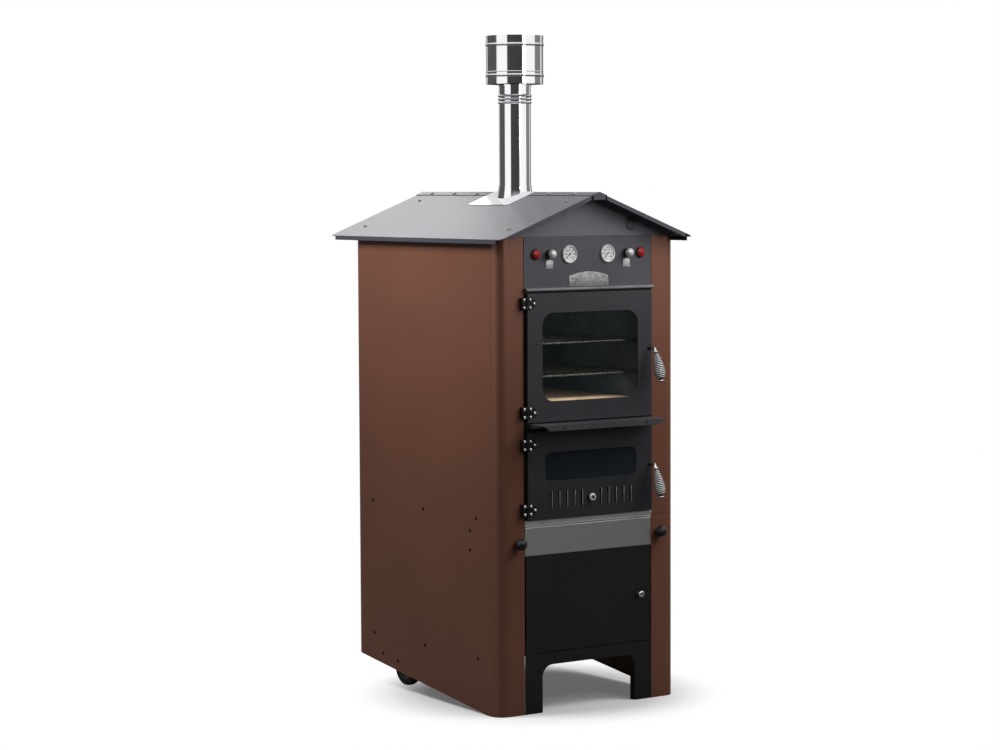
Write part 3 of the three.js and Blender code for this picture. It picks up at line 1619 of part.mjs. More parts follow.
// Utility drawer: a stainless front with hemmed edges on a shallow box
const frontPlay = 2.5;
const drawerHeight = 90;
const drawerSideGap = 1.5;
const drawerSheet = 1.5;
const drawerBoxInset = 14.5;
const drawerRearSpace = 225;
const drawerHigh = stripLow - frontPlay;
const drawerLow = drawerHigh - drawerHeight;
const drawerHalf = frontOpeningWidth / 2 - drawerSideGap;
const drawerBoxHalf = drawerHalf - drawerBoxInset;
const drawerBoxBack = bodyDepth - drawerRearSpace;
const drawerBoxHeight = 70;
const drawerHem = 5;
const drawerDeckSheet = 2;
const drawerDeckTop = drawerLow + drawerDeckSheet * 2;
const drawerBoxLow = drawerDeckTop + fitGap;
const drawerFront = alongX(
  [
    [0, drawerLow],
    [0, drawerHigh],
    [drawerHem, drawerHigh],
    [drawerHem, drawerHigh - drawerSheet],
    [drawerSheet, drawerHigh - drawerSheet],
    [drawerSheet, drawerLow],
  ],
  -drawerHalf,
  drawerHalf,
);
const drawerBox = cut(
  block(-drawerBoxHalf, drawerBoxHalf, drawerSheet / 2, drawerBoxBack, drawerBoxLow, drawerBoxLow + drawerBoxHeight),
  block(
    -drawerBoxHalf + drawerSheet, drawerBoxHalf - drawerSheet, drawerSheet, drawerBoxBack - drawerSheet,
    drawerBoxLow + drawerSheet, drawerBoxLow + drawerBoxHeight + cutOver,
  ),
);
part(cart, 'drawer', join(drawerFront, drawerBox), satinSteel);

// Drawer deck: the floor the drawer slides on, with upright guides, over the wood compartment
const guideHeight = 30;
const guideSheet = 2;
const deckFrontEdge = drawerSheet + fitGap;
const woodDoorSideGap = 4;
const woodHingeInset = 4;
const woodDoorHalf = frontOpeningWidth / 2 - woodDoorSideGap;
const woodHingeX = -(woodDoorHalf - woodHingeInset);
const woodHingeY = 6;
const woodPinRadius = 2;
const deckPlate = join(
  block(-sheetHalf, sheetHalf, deckFrontEdge, cartFront + cornerRadius, drawerDeckTop - drawerDeckSheet, drawerDeckTop),
  alongZ(
    roundedRectangle(-cartHalf, cartHalf, cartFront, cartBack, cartCorner, bendSteps * 2),
    drawerDeckTop - drawerDeckSheet,
    drawerDeckTop,
  ),
);
const drawerGuides = [-1, 1].map((side) => {
  const near = side * (drawerBoxHalf + runGap);
  const far = side * (drawerBoxHalf + runGap + guideSheet);
  return block(
    Math.min(near, far), Math.max(near, far), cartFront, drawerBoxBack,
    drawerDeckTop - drawerDeckSheet / 2, drawerDeckTop + guideHeight,
  );
});
const barLane = block(
  -halfBody, halfBody, -cutOver, 0, drawerDeckTop - cutOver, drawerDeckTop + cutOver,
);
part(
  cart,
  'drawer_deck',
  cut(
    join(deckPlate, ...drawerGuides),
    barLane,
    barZ(woodHingeX, woodHingeY, drawerDeckTop - drawerDeckSheet - cutOver, drawerDeckTop + cutOver,
      woodPinRadius + fitGap, smallSides),
  ),
  zincSteel,
);

// Wood compartment: its floor, and a door on two pins with a round knob
const woodFloorTop = 188;
const woodFloorSheet = 2;
const woodDoorLow = woodFloorTop + frontPlay;
const woodDoorHigh = drawerLow - frontPlay;
const woodDoorDepth = 12;
const woodDoorSheet = 1.5;
const woodPinReach = 6;
const woodKnobInset = 48;
const woodKnobX = woodDoorHalf - woodKnobInset;
const woodKnobZ = (woodDoorLow + woodDoorHigh) / 2;
const woodKnobRadius = 11;
const woodKnobStem = 4;
const woodKnobReach = 20;
const baseTopFlange = 20;
const woodFloorFront = baseTopFlange + fitGap;
const woodFloorBack = cartBack;
part(
  cart,
  'wood_compartment_floor',
  join(
    block(-sheetHalf, sheetHalf, woodFloorFront, woodFloorBack - cornerRadius,
      woodFloorTop - woodFloorSheet, woodFloorTop),
    block(-cartHalf, cartHalf, cartFront + cornerRadius, woodFloorBack - cornerRadius,
      woodFloorTop - woodFloorSheet, woodFloorTop),
    block(-halfRearOpening, halfRearOpening, woodFloorFront + cornerRadius, woodFloorBack,
      woodFloorTop - woodFloorSheet, woodFloorTop),
  ),
  zincSteel,
);
const woodPan = cut(
  block(-woodDoorHalf, woodDoorHalf, 0, woodDoorDepth, woodDoorLow, woodDoorHigh),
  block(
    -woodDoorHalf + woodDoorSheet, woodDoorHalf - woodDoorSheet, woodDoorSheet, woodDoorDepth + cutOver,
    woodDoorLow + woodDoorSheet, woodDoorHigh - woodDoorSheet,
  ),
);
const woodKnob = turnedForward(
  [
    [0, -woodDoorSheet / 2],
    [woodKnobStem, -woodDoorSheet / 2],
    [woodKnobStem, woodKnobReach / 3],
    [woodKnobRadius, woodKnobReach / 2],
    [woodKnobRadius, woodKnobReach * 3 / 4],
    [woodKnobRadius * 2 / 3, woodKnobReach],
    [0, woodKnobReach],
  ],
  woodKnobX,
  woodKnobZ,
);
const woodPins = [
  barZ(woodHingeX, woodHingeY, woodDoorLow - woodPinReach, woodDoorLow + woodDoorSheet / 2, woodPinRadius, smallSides),
  barZ(woodHingeX, woodHingeY, woodDoorHigh - woodDoorSheet / 2, woodDoorHigh + woodPinReach, woodPinRadius, smallSides),
];
part(cart, 'wood_door', join(woodPan, woodKnob, ...woodPins), blackPaint);

// Base front: a sheet with an arch, a top flange and folded feet
const baseSheet = 2;
const archSide = 67;
const archDrop = 38;
const archHalf = frontOpeningWidth / 2 - archSide;
const archTop = woodFloorTop - archDrop;
const archCorner = 38;
const footDepth = 24;
const baseHalf = sheetHalf;
const archArc = Array.from({ length: arcSteps + 1 }, (_, i) => {
  const angle = (i / arcSteps) * Math.PI / 2;
  return [archHalf - archCorner + archCorner * Math.cos(angle), archTop - archCorner + archCorner * Math.sin(angle)];
});
const baseOutline = [
  [-baseHalf, 0],
  [-archHalf, 0],
  ...archArc.map(([x, z]) => [-x, z]),
  ...archArc.slice().reverse(),
  [archHalf, 0],
  [baseHalf, 0],
  [baseHalf, woodFloorTop],
  [-baseHalf, woodFloorTop],
];
const baseFeet = [-1, 1].map((side) => {
  const outer = side * baseHalf;
  const inner = side * archHalf;
  return join(
    block(Math.min(outer, inner), Math.max(outer, inner), baseSheet / 2, footDepth, 0, baseSheet),
    block(
      Math.min(inner, inner + side * baseSheet), Math.max(inner, inner + side * baseSheet),
      baseSheet / 2, footDepth, 0, archTop - archCorner,
    ),
  );
});
part(
  cart,
  'base_front_panel',
  cut(
    join(
      alongY(baseOutline, 0, baseSheet),
      block(-baseHalf, baseHalf, baseSheet / 2, baseTopFlange, woodFloorTop - baseSheet, woodFloorTop),
      ...baseFeet,
    ),
    barZ(woodHingeX, woodHingeY, woodFloorTop - baseSheet - cutOver, woodFloorTop + cutOver,
      woodPinRadius + fitGap, smallSides),
  ),
  blackPaint,
);

// Wheels: grey hub and rubber tread in one turning piece, on a fork under each side
const wheelRadius = 62.5;
const wheelWidth = 34;
const wheelInset = 65;
const wheelRearSpace = 195;
const wheelOuterX = bodyWidth / 2 - wheelInset;
const wheelY = bodyDepth - wheelRearSpace;
const axleRadius = 6;
const hubRadius = 14;
const rimRadius = 42;
const webInset = 9;
const treadRound = 6;
const forkSheet = 3;
const forkHeadroom = 18;
const forkHalf = 38;
const forkFootHeight = 55;
const forkTop = 2 * wheelRadius + forkHeadroom;
const forkFootLow = forkTop - forkFootHeight;
const forkGap = 2;
const axleHead = 9;
const wheelMiddleX = wheelOuterX - wheelWidth / 2;
const halfWheel = wheelWidth / 2;
const wheelProfile = [
  [axleRadius + fitGap, -halfWheel],
  [hubRadius, -halfWheel],
  [hubRadius + webInset / 2, -halfWheel + webInset],
  [rimRadius, -halfWheel + webInset],
  [rimRadius, -halfWheel + webInset / 3],
  [wheelRadius - treadRound, -halfWheel + webInset / 3],
  [wheelRadius, -halfWheel + webInset / 3 + treadRound],
  [wheelRadius, halfWheel - webInset / 3 - treadRound],
  [wheelRadius - treadRound, halfWheel - webInset / 3],
  [rimRadius, halfWheel - webInset / 3],
  [rimRadius, halfWheel - webInset],
  [hubRadius + webInset / 2, halfWheel - webInset],
  [hubRadius, halfWheel],
  [axleRadius + fitGap, halfWheel],
  [axleRadius + fitGap, -halfWheel],
];
const rightWheel = solid(turned(wheelProfile, finestSides).rotateY(Math.PI / 2)
  .translate(wheelMiddleX, wheelY, wheelRadius));
part(cart, 'right_wheel', rightWheel, greyRubber);
part(cart, 'left_wheel', mirrored(rightWheel), greyRubber);

const forkOuter = wheelOuterX + forkGap;
const forkInner = wheelOuterX - wheelWidth - forkGap;
const cheekOutline = [
  [wheelY - forkHalf, forkTop],
  [wheelY - axleHead * 2, wheelRadius - axleHead * 2],
  [wheelY + axleHead * 2, wheelRadius - axleHead * 2],
  [wheelY + forkHalf, forkTop],
];
const casingInner = halfBody - casingSheet - fitGap;
const rightFork = join(
  alongX(cheekOutline, forkOuter, forkOuter + forkSheet),
  alongX(cheekOutline, forkInner - forkSheet, forkInner),
  block(forkInner - forkSheet, casingInner, wheelY - forkHalf, wheelY + forkHalf, forkTop - forkSheet, forkTop),
  block(
    casingInner - forkSheet, casingInner, wheelY - forkHalf * 2, wheelY + forkHalf * 2, forkFootLow, forkTop,
  ),
  barX(wheelY, wheelRadius, forkInner - forkSheet, forkOuter + forkSheet, axleRadius),
  barX(wheelY, wheelRadius, forkOuter + forkSheet / 2, forkOuter + forkSheet * 2, axleHead),
  barX(wheelY, wheelRadius, forkInner - forkSheet * 2, forkInner - forkSheet / 2, axleHead),
);
part(cart, 'right_wheel_fork', rightFork, zincSteel);
part(cart, 'left_wheel_fork', mirrored(rightFork), zincSteel);

// Lifting bars: a round bar with a ball knob in front and a stop at its inner end
const ballStand = 1;
const ballCentre = -barBallRadius - ballStand + fitGap;
const ball = solid(new THREE.SphereGeometry(barBallRadius, roundSides, roundSides / 2)
  .rotateX(Math.PI / 2)
  .translate(barPlaceX, ballCentre, barPlaceZ));
const rightBar = join(
  ball,
  barY(barPlaceX, barPlaceZ, ballCentre, barLength, barRadius),
  barY(barPlaceX, barPlaceZ, barLength - barStopLength, barLength, barStopRadius),
);
part(cart, 'right_pull_bar', rightBar, blackPlastic);
part(cart, 'left_pull_bar', mirrored(rightBar), blackPlastic);

// The origin lies on the floor under the middle of the whole oven
const reach = new THREE.Box3().setFromObject(oven, true);
const middle = reach.getCenter(new THREE.Vector3());
oven.position.set(-middle.x, -middle.y, -reach.min.z);

export default oven;
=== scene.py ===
import json
import math

import bpy
from mathutils import Matrix, Vector

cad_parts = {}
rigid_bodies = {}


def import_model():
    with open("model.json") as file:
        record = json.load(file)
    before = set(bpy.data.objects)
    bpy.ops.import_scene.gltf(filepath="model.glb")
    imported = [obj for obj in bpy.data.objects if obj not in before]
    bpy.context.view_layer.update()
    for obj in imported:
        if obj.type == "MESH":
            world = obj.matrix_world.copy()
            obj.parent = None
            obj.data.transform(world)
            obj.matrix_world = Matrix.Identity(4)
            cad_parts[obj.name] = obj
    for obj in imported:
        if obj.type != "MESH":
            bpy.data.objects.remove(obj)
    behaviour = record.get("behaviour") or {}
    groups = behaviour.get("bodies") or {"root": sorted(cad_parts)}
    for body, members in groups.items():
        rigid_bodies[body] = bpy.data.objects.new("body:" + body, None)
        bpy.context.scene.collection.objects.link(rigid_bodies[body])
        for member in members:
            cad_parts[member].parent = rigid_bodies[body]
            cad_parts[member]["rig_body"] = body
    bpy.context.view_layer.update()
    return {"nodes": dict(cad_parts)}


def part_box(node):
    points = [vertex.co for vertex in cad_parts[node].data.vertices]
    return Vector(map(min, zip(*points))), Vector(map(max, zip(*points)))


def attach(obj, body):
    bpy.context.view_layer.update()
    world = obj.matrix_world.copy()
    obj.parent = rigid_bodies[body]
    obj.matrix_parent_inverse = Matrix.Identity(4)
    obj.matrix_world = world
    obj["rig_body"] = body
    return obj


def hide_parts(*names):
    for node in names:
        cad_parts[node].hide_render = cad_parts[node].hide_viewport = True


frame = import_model()

# The camera stands at the left front corner, a little above the roof's height, as it did for the photograph.
# A long lens keeps the upright edges nearly parallel.
front_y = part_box("upper_left_casing")[0].y
camera_place = (-5.07455, front_y - 6.91483, 1.67008)
camera_turn = math.radians(34.407)
camera_dip = math.radians(4.083)
camera_roll = math.radians(-0.265)
look = Vector((
    math.sin(camera_turn) * math.cos(camera_dip),
    math.cos(camera_turn) * math.cos(camera_dip),
    -math.sin(camera_dip),
))
across = Vector((math.cos(camera_turn), -math.sin(camera_turn), 0))
upright = across.cross(look)
turned_across = math.cos(camera_roll) * across + math.sin(camera_roll) * upright
turned_upright = math.cos(camera_roll) * upright - math.sin(camera_roll) * across
bpy.ops.object.camera_add(location=camera_place)
camera = bpy.context.object
camera.rotation_mode = "QUATERNION"
camera.rotation_quaternion = Matrix((turned_across, turned_upright, -look)).transposed().to_quaternion()
camera.data.lens = 98.07
camera.data.sensor_width = 36
camera.data.clip_end = 200
bpy.context.scene.camera = camera
bpy.context.scene.view_settings.view_transform = "Standard"

# Studio room: white walls with dark gaps between them, which polished metal sees as upright stripes.
# Diffuse light comes mostly from overhead, so that the upright faces grow darker towards the floor.
def wire(tree, made, inputs):
    """Sets a node's inputs to plain values, or links them to other nodes' outputs."""
    for socket, value in inputs.items():
        if isinstance(value, bpy.types.NodeSocket):
            tree.links.new(value, made.inputs[socket])
        else:
            made.inputs[socket].default_value = value
    return made


def shader_node(tree, kind, inputs=None, **settings):
    """A new shader node of one kind, with its settings and inputs."""
    made = tree.nodes.new("ShaderNode" + kind)
    for name, value in settings.items():
        setattr(made, name, value)
    return wire(tree, made, inputs or {})


def maths(tree, operation, *values):
    """The result of one operation on plain values and other nodes' outputs."""
    return shader_node(tree, "Math", dict(enumerate(values)), operation=operation).outputs[0]


def blend(tree, share, first, second):
    """A colour that goes from the first to the second with a share."""
    inputs = {"Factor": share, "A": first, "B": second}
    return shader_node(tree, "Mix", inputs, data_type="RGBA").outputs["Result"]


def ramp(tree, value, span, levels=(0, 1), curve="LINEAR"):
    """A level between two, for where a value lies in its span."""
    return shader_node(tree, "MapRange", {
        "Value": value, "From Min": span[0], "From Max": span[1],
        "To Min": levels[0], "To Max": levels[1],
    }, interpolation_type=curve).outputs[0]


plain_white = (1, 1, 1, 1)
wall_stops = [
    (0.000, 1.08), (0.004, 0.90), (0.014, 0.05), (0.176, 0.06), (0.186, 1.08), (0.304, 1.08),
    (0.320, 0.09), (0.490, 0.10), (0.497, 0.80), (0.527, 0.80), (0.534, 0.11), (0.590, 0.11),
    (0.640, 0.22), (0.705, 0.22), (0.712, 0.80), (0.742, 0.80), (0.749, 0.22), (0.844, 0.24),
    (0.856, 1.08), (1.000, 1.08),
]
ceiling_edge = (0.28, 0.42)
overhead_span, overhead_levels = (0.05, 0.95), (0.02, 0.30)
world = bpy.data.worlds.new("studio_room")
bpy.context.scene.world = world
world.use_nodes = True
room_tree = world.node_tree
room_tree.nodes.clear()
way = shader_node(room_tree, "TexCoord").outputs["Generated"]
parts = shader_node(room_tree, "SeparateXYZ", {0: way}).outputs
bearing = maths(room_tree, "ARCTAN2", parts["X"], parts["Y"])
walls = shader_node(room_tree, "ValToRGB", {0: ramp(room_tree, bearing, (-math.pi, math.pi))})
while len(walls.color_ramp.elements) < len(wall_stops):
    walls.color_ramp.elements.new(0.5)
for element, (place, level) in zip(walls.color_ramp.elements, wall_stops):
    element.position = place
    element.color = (level, level, level, 1)
room = blend(room_tree, ramp(room_tree, parts["Z"], ceiling_edge), walls.outputs[0], plain_white)
overhead = ramp(room_tree, parts["Z"], overhead_span, overhead_levels, "SMOOTHSTEP")
rays = shader_node(room_tree, "LightPath").outputs
seen_in_gloss = blend(room_tree, rays["Is Glossy Ray"], overhead, room)
seen = maths(room_tree, "MAXIMUM", rays["Is Camera Ray"], rays["Is Transmission Ray"])
backdrop = blend(room_tree, seen, seen_in_gloss, plain_white)
background = shader_node(room_tree, "Background", {"Color": backdrop})
shader_node(room_tree, "OutputWorld", {"Surface": background.outputs[0]})

# Soft boxes: one over the left side, and weaker ones at the right, in front, behind and over the roof.
# Two small lamps light the baking chamber, one of them a strip close over the slab's front edge.
slab_low, slab_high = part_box("baking_stone")
chamber_place = (-0.19, front_y + 0.07, 1.26)
chamber_aim = (0.0, front_y + 0.45, 1.16)
strip_place = (0, front_y + 0.09, slab_high.z + 0.065)
strip_aim = (0, front_y + 0.12, slab_high.z)
strip_depth = 0.10
for name, place, aim, size, spread_angle, power, in_gloss in [
    ("left_soft_box", (-1.45, 0.15, 2.45), (-0.35, 0.0, 1.0), 0.8, 180, 35, False),
    ("right_soft_box", (1.15, -1.55, 2.35), (0.1, -0.4, 1.1), 1.3, 180, 31, False),
    ("front_soft_box", (0.16, front_y - 2.40, 2.05), (0, front_y, 1.20), 0.5, 180, 6, True),
    ("back_soft_box", (0.50, 3.00, 1.15), (0, 0.5, 0.9), 1.5, 180, 22, False),
    ("roof_soft_box", (0.30, 1.67, 2.18), (-0.32, 0.42, 1.46), 0.8, 42, 0.21, True),
    ("chamber_lamp", chamber_place, chamber_aim, 0.08, 150, 0.42, False),
    ("slab_lamp", strip_place, strip_aim, 0.36, 180, 0.14, False),
]:
    bpy.ops.object.light_add(type="AREA", location=place)
    lamp = bpy.context.object
    lamp.name = name
    lamp.data.size = size
    if name == "slab_lamp":
        lamp.data.shape = "RECTANGLE"
        lamp.data.size_y = strip_depth
    lamp.data.spread = math.radians(spread_angle)
    lamp.data.energy = power
    lamp.data.use_shadow = name != "roof_soft_box"
    lamp.rotation_mode = "QUATERNION"
    lamp.rotation_quaternion = (Vector(aim) - Vector(place)).to_track_quat("-Z", "Y")
    lamp.visible_glossy = in_gloss
    lamp.visible_camera = False

# Studio floor: a pale matt sheet that keeps the oven's soft shadow and fades into the white wall behind.
# Little of its light comes back up to the oven.
def shaded(name):
    """A new material, with its node tree and its main shader."""
    made = bpy.data.materials.new(name)
    made.use_nodes = True
    return made, made.node_tree, made.node_tree.nodes["Principled BSDF"]


shadow_middle = (0, -0.14, 0)
shadow_reach, white_from = 0.34, 0.62
fade_levels = (0.12, 1)
floor_tone = (0.9, 0.9, 0.9, 1)
floor_tone_in_bounces = (0.10, 0.10, 0.10, 1)
glow_in_gloss = 0.06
bpy.ops.object.select_all(action="DESELECT")
bpy.ops.mesh.primitive_plane_add(size=80)
floor = bpy.context.object
floor.name = "studio_floor"
floor_paint, floor_tree, matt = shaded("studio_floor_paint")
rays = shader_node(floor_tree, "LightPath").outputs
reflected = maths(floor_tree, "MAXIMUM", rays["Is Diffuse Ray"], rays["Is Glossy Ray"])
wire(floor_tree, matt, {
    "Roughness": 0.9, "Specular IOR Level": 0.1,
    "Base Color": blend(floor_tree, reflected, floor_tone, floor_tone_in_bounces),
})
glow = shader_node(floor_tree, "Emission", {"Color": plain_white})
place = shader_node(floor_tree, "TexCoord").outputs["Object"]
off_centre = shader_node(floor_tree, "VectorMath", {0: place, 1: shadow_middle}, operation="SUBTRACT")
away = shader_node(floor_tree, "VectorMath", {0: off_centre.outputs["Vector"]}, operation="LENGTH")
fade = ramp(floor_tree, away.outputs["Value"], (shadow_reach, white_from), fade_levels, "SMOOTHSTEP")
seen = maths(floor_tree, "MAXIMUM", rays["Is Camera Ray"], rays["Is Transmission Ray"])
mirrored = maths(floor_tree, "MULTIPLY", rays["Is Glossy Ray"], glow_in_gloss)
share = maths(floor_tree, "MULTIPLY", maths(floor_tree, "MAXIMUM", seen, mirrored), fade)
floor_mix = shader_node(floor_tree, "MixShader", {0: share, 1: matt.outputs[0], 2: glow.outputs[0]})
wire(floor_tree, floor_tree.nodes["Material Output"], {"Surface": floor_mix.outputs[0]})
floor.data.materials.append(floor_paint)

# Dark card: it stands in front of the oven and shows only in its reflections.
# It keeps the steel drawer dark.
card_place = (1.6, -3.4, 0.62)
card_turn = (math.pi / 2, 0, math.radians(18))
card_size = (4.6, 1.24, 1)
card_tone = (0.05, 0.05, 0.05, 1)
bpy.ops.object.select_all(action="DESELECT")
bpy.ops.mesh.primitive_plane_add(size=1, location=card_place, rotation=card_turn)
dark_card = bpy.context.object
dark_card.name = "dark_card"
dark_card.scale = card_size
card_cloth, card_tree, cloth = shaded("card_cloth")
wire(card_tree, cloth, {"Base Color": card_tone})
dark_card.data.materials.append(card_cloth)
dark_card.visible_camera = False
dark_card.visible_diffuse = False
dark_card.visible_shadow = False
dark_card.visible_transmission = False

# Side casings: bent sheet steel in a brown powder coat with a fine grain, four pieces with rounded corners.
# Each is one sheet from the front post round to the rear flange, screwed on with domed screws.
def tone(code):
    """A colour as it looks, written as six digits, in the shader's own scale."""
    levels = [int(code[i:i + 2], 16) / 255 for i in (0, 2, 4)]
    return [(v / 12.92 if v <= 0.04045 else ((v + 0.055) / 1.055) ** 2.4) for v in levels] + [1]


def noise(tree, place, scale, detail):
    """Cloudy noise, finer at a greater scale."""
    inputs = {"Scale": scale, "Detail": detail, "Vector": place}
    return shader_node(tree, "TexNoise", inputs).outputs["Fac"]


def surface(
    name, light, dark, rough, metal=0.0, grain=900, stretch=(1, 1, 1), cloud=5, bump=0.12, spread=0.06,
):
    """A finish whose colour drifts between two tones, with a fine grain in its gloss and its height."""
    made, tree, shader = shaded(name)
    place = shader_node(tree, "TexCoord").outputs["Object"]
    scaled = shader_node(tree, "Mapping", {"Scale": stretch, "Vector": place}).outputs[0]
    tones = shader_node(tree, "ValToRGB", {0: noise(tree, scaled, cloud, 4)})
    for element, position, code in zip(tones.color_ramp.elements, (0.3, 0.7), (dark, light)):
        element.position = position
        element.color = tone(code)
    speckle = noise(tree, scaled, grain, 3)
    gloss = ramp(tree, speckle, (0.3, 0.7), (rough - spread, rough + spread))
    relief = shader_node(tree, "Bump", {"Strength": bump, "Distance": 0.0006, "Height": speckle})
    wire(tree, shader, {
        "Metallic": metal, "Base Color": tones.outputs[0], "Roughness": gloss, "Normal": relief.outputs[0],
    })
    return made


def finish_node(node, material):
    """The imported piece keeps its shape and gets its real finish."""
    data = frame["nodes"][node].data
    data.materials.clear()
    data.materials.append(material)


def pick(*pieces):
    """Selects these pieces and no others, the first of them active."""
    bpy.ops.object.select_all(action="DESELECT")
    for piece in pieces:
        piece.select_set(True)
    bpy.context.view_layer.objects.active = pieces[0]


def settle():
    """Works the active piece's place, turn and scale into its mesh."""
    bpy.ops.object.transform_apply(location=True, rotation=True, scale=True)


def open_mesh():
    """Opens the active piece's mesh for editing, with all of it selected."""
    bpy.ops.object.mode_set(mode="EDIT")
    bpy.ops.mesh.select_all(action="SELECT")


def ease_edges(piece, width, steps=2):
    """Rounds the sharp edges of the active piece."""
    easing = piece.modifiers.new("easing", "BEVEL")
    easing.width = width
    easing.segments = steps
    easing.limit_method = "ANGLE"
    easing.angle_limit = math.radians(50)
    bpy.ops.object.modifier_apply(modifier="easing")


def join_all(pieces, name):
    """The pieces as one piece with a name."""
    pick(*pieces)
    if len(pieces) > 1:
        bpy.ops.object.join()
    joined = bpy.context.object
    joined.name = name
    return joined


def smooth_copy(node, material, angle=32, edge=0.0):
    """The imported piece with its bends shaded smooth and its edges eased, in place of the faceted one."""
    source = frame["nodes"][node]
    piece = bpy.data.objects.new(node + "_smooth", source.data.copy())
    bpy.context.scene.collection.objects.link(piece)
    pick(piece)
    open_mesh()
    bpy.ops.mesh.remove_doubles(threshold=0.00001)
    bpy.ops.mesh.dissolve_limited(angle_limit=math.radians(0.5))
    bpy.ops.object.mode_set(mode="OBJECT")
    if edge:
        ease_edges(piece, edge)
    bpy.ops.object.shade_smooth_by_angle(angle=math.radians(angle))
    weighting = piece.modifiers.new("weighting", "WEIGHTED_NORMAL")
    weighting.keep_sharp = True
    bpy.ops.object.modifier_apply(modifier="weighting")
    piece.data.materials.clear()
    piece.data.materials.append(material)
    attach(piece, source["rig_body"])
    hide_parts(node)
    return piece


def turned_piece(name, rings, material, sides=48, angle=30):
    """A turned shape, drawn upwards from the origin ring by ring, with both ends closed."""
    bpy.ops.object.select_all(action="DESELECT")
    radius, height = rings[0]
    bpy.ops.mesh.primitive_circle_add(
        vertices=sides, radius=radius, location=(0, 0, height), fill_type="NOTHING",
    )
    piece = bpy.context.object
    piece.name = name
    settle()
    open_mesh()
    for (before, low), (after, high) in zip(rings, rings[1:]):
        bpy.ops.mesh.extrude_region_move(TRANSFORM_OT_translate={"value": (0, 0, high - low)})
        bpy.ops.transform.resize(value=(after / before, after / before, 1), center_override=(0, 0, high))
    bpy.ops.mesh.select_all(action="SELECT")
    if rings[0] == rings[-1]:
        bpy.ops.mesh.remove_doubles(threshold=0.00001)
    else:
        bpy.ops.mesh.fill_holes(sides=0)
    bpy.ops.mesh.select_all(action="SELECT")
    bpy.ops.mesh.normals_make_consistent(inside=False)
    bpy.ops.object.mode_set(mode="OBJECT")
    bpy.ops.object.shade_smooth_by_angle(angle=math.radians(angle))
    piece.data.materials.append(material)
    return piece


def put(piece, place, way=(0, 0, 1)):
    """Stands a piece drawn about +Z at its place, with its top towards way, and fixes it there."""
    piece.rotation_mode = "QUATERNION"
    piece.rotation_quaternion = Vector((0, 0, 1)).rotation_difference(Vector(way))
    piece.location = place
    pick(piece)
    settle()
    return piece


def spread(pattern, name, places, way, body, slot):
    """Copies of one small piece at its places, all facing one way, as one piece on a body."""
    copies = []
    for place in places:
        copy = pattern.copy()
        copy.data = pattern.data.copy()
        bpy.context.scene.collection.objects.link(copy)
        copies.append(put(copy, place, way))
    piece = join_all(copies, name)
    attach(piece, body)


brown_coat = surface(
    "brown_coat", "895b49", "7d5240", 0.30, metal=0.25, grain=1400, cloud=1.6, bump=0.08, spread=0.05,
)
for casing in ("upper_left_casing", "upper_right_casing", "lower_left_casing", "lower_right_casing"):
    smooth_copy(casing, brown_coat, edge=0.0006)

black_zinc = surface("black_zinc", "2a2623", "1d1a19", 0.38, metal=0.6, grain=600, cloud=40)
screw_radius = 0.0062
side_screw = turned_piece("side_screw", [
    (screw_radius, -0.0004), (screw_radius, 0.0006), (screw_radius * 0.86, 0.0017),
    (screw_radius * 0.56, 0.0026), (screw_radius * 0.30, 0.0029), (screw_radius * 0.28, 0.0016),
], black_zinc, sides=24)
upper_screw_rows = [(0.1206, 0.617), (0.4255, 0.617), (0.7325, 0.617)]
lower_screw_rows = [
    (0.112, 0.175), (0.418, 0.175), (0.728, 0.175), (0.155, 0.575),
    (0.156, 0.513), (0.585, 0.100), (0.675, 0.112),
]
hands = (("left", -1), ("right", 1))
for hand, side in hands:
    wall = max(abs(corner.x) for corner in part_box(f"upper_{hand}_casing"))
    for level, rows in (("upper", upper_screw_rows), ("lower", lower_screw_rows)):
        places = [(side * wall, front_y + y, z) for y, z in rows]
        spread(side_screw, f"{level}_{hand}_casing_screws", places, (side, 0, 0), "oven_body", "brown_paint")

# Back panels: flat galvanised sheets behind the ovens, screwed to the casings' rear flanges.
# The screws are of the casings' own kind, in two upright rows.
galvanised = surface("galvanised", "a3a6a9", "959a9d", 0.40, metal=0.45, grain=300, cloud=70, bump=0.05)
for panel in ("upper_back_panel", "lower_back_panel"):
    finish_node(panel, galvanised)
back_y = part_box("upper_left_casing")[1].y
back_screw_x = 0.292
back_screw_heights = [0.14, 0.36, 0.56, 0.64, 0.92, 1.20, 1.46]
spread(
    side_screw, "back_flange_screws",
    [(side * back_screw_x, back_y, z) for side in (-1, 1) for z in back_screw_heights],
    (0, 1, 0), "oven_body", "brown_paint",
)

# Roof: two slate grey sheets with their edges folded down, on a folded gable wall at each end.
# Ridge caps cover the joint, and domed screws hold the sheets to the gables' flanges.
# The flue stands where the third and fourth screws of the caps would be.
slate_coat = surface("slate_coat", "4f4f57", "45454c", 0.34, grain=1500, cloud=3, bump=0.08)
for sheet_name in ("roof_left_panel", "roof_right_panel", "front_ridge_cap", "rear_ridge_cap"):
    smooth_copy(sheet_name, slate_coat, edge=0.0005)
gable_coat = surface("gable_coat", "73737c", "67676f", 0.42, grain=1500, cloud=3, bump=0.08)
for wall_name in ("front_gable", "rear_gable"):
    smooth_copy(wall_name, gable_coat, edge=0.0005)

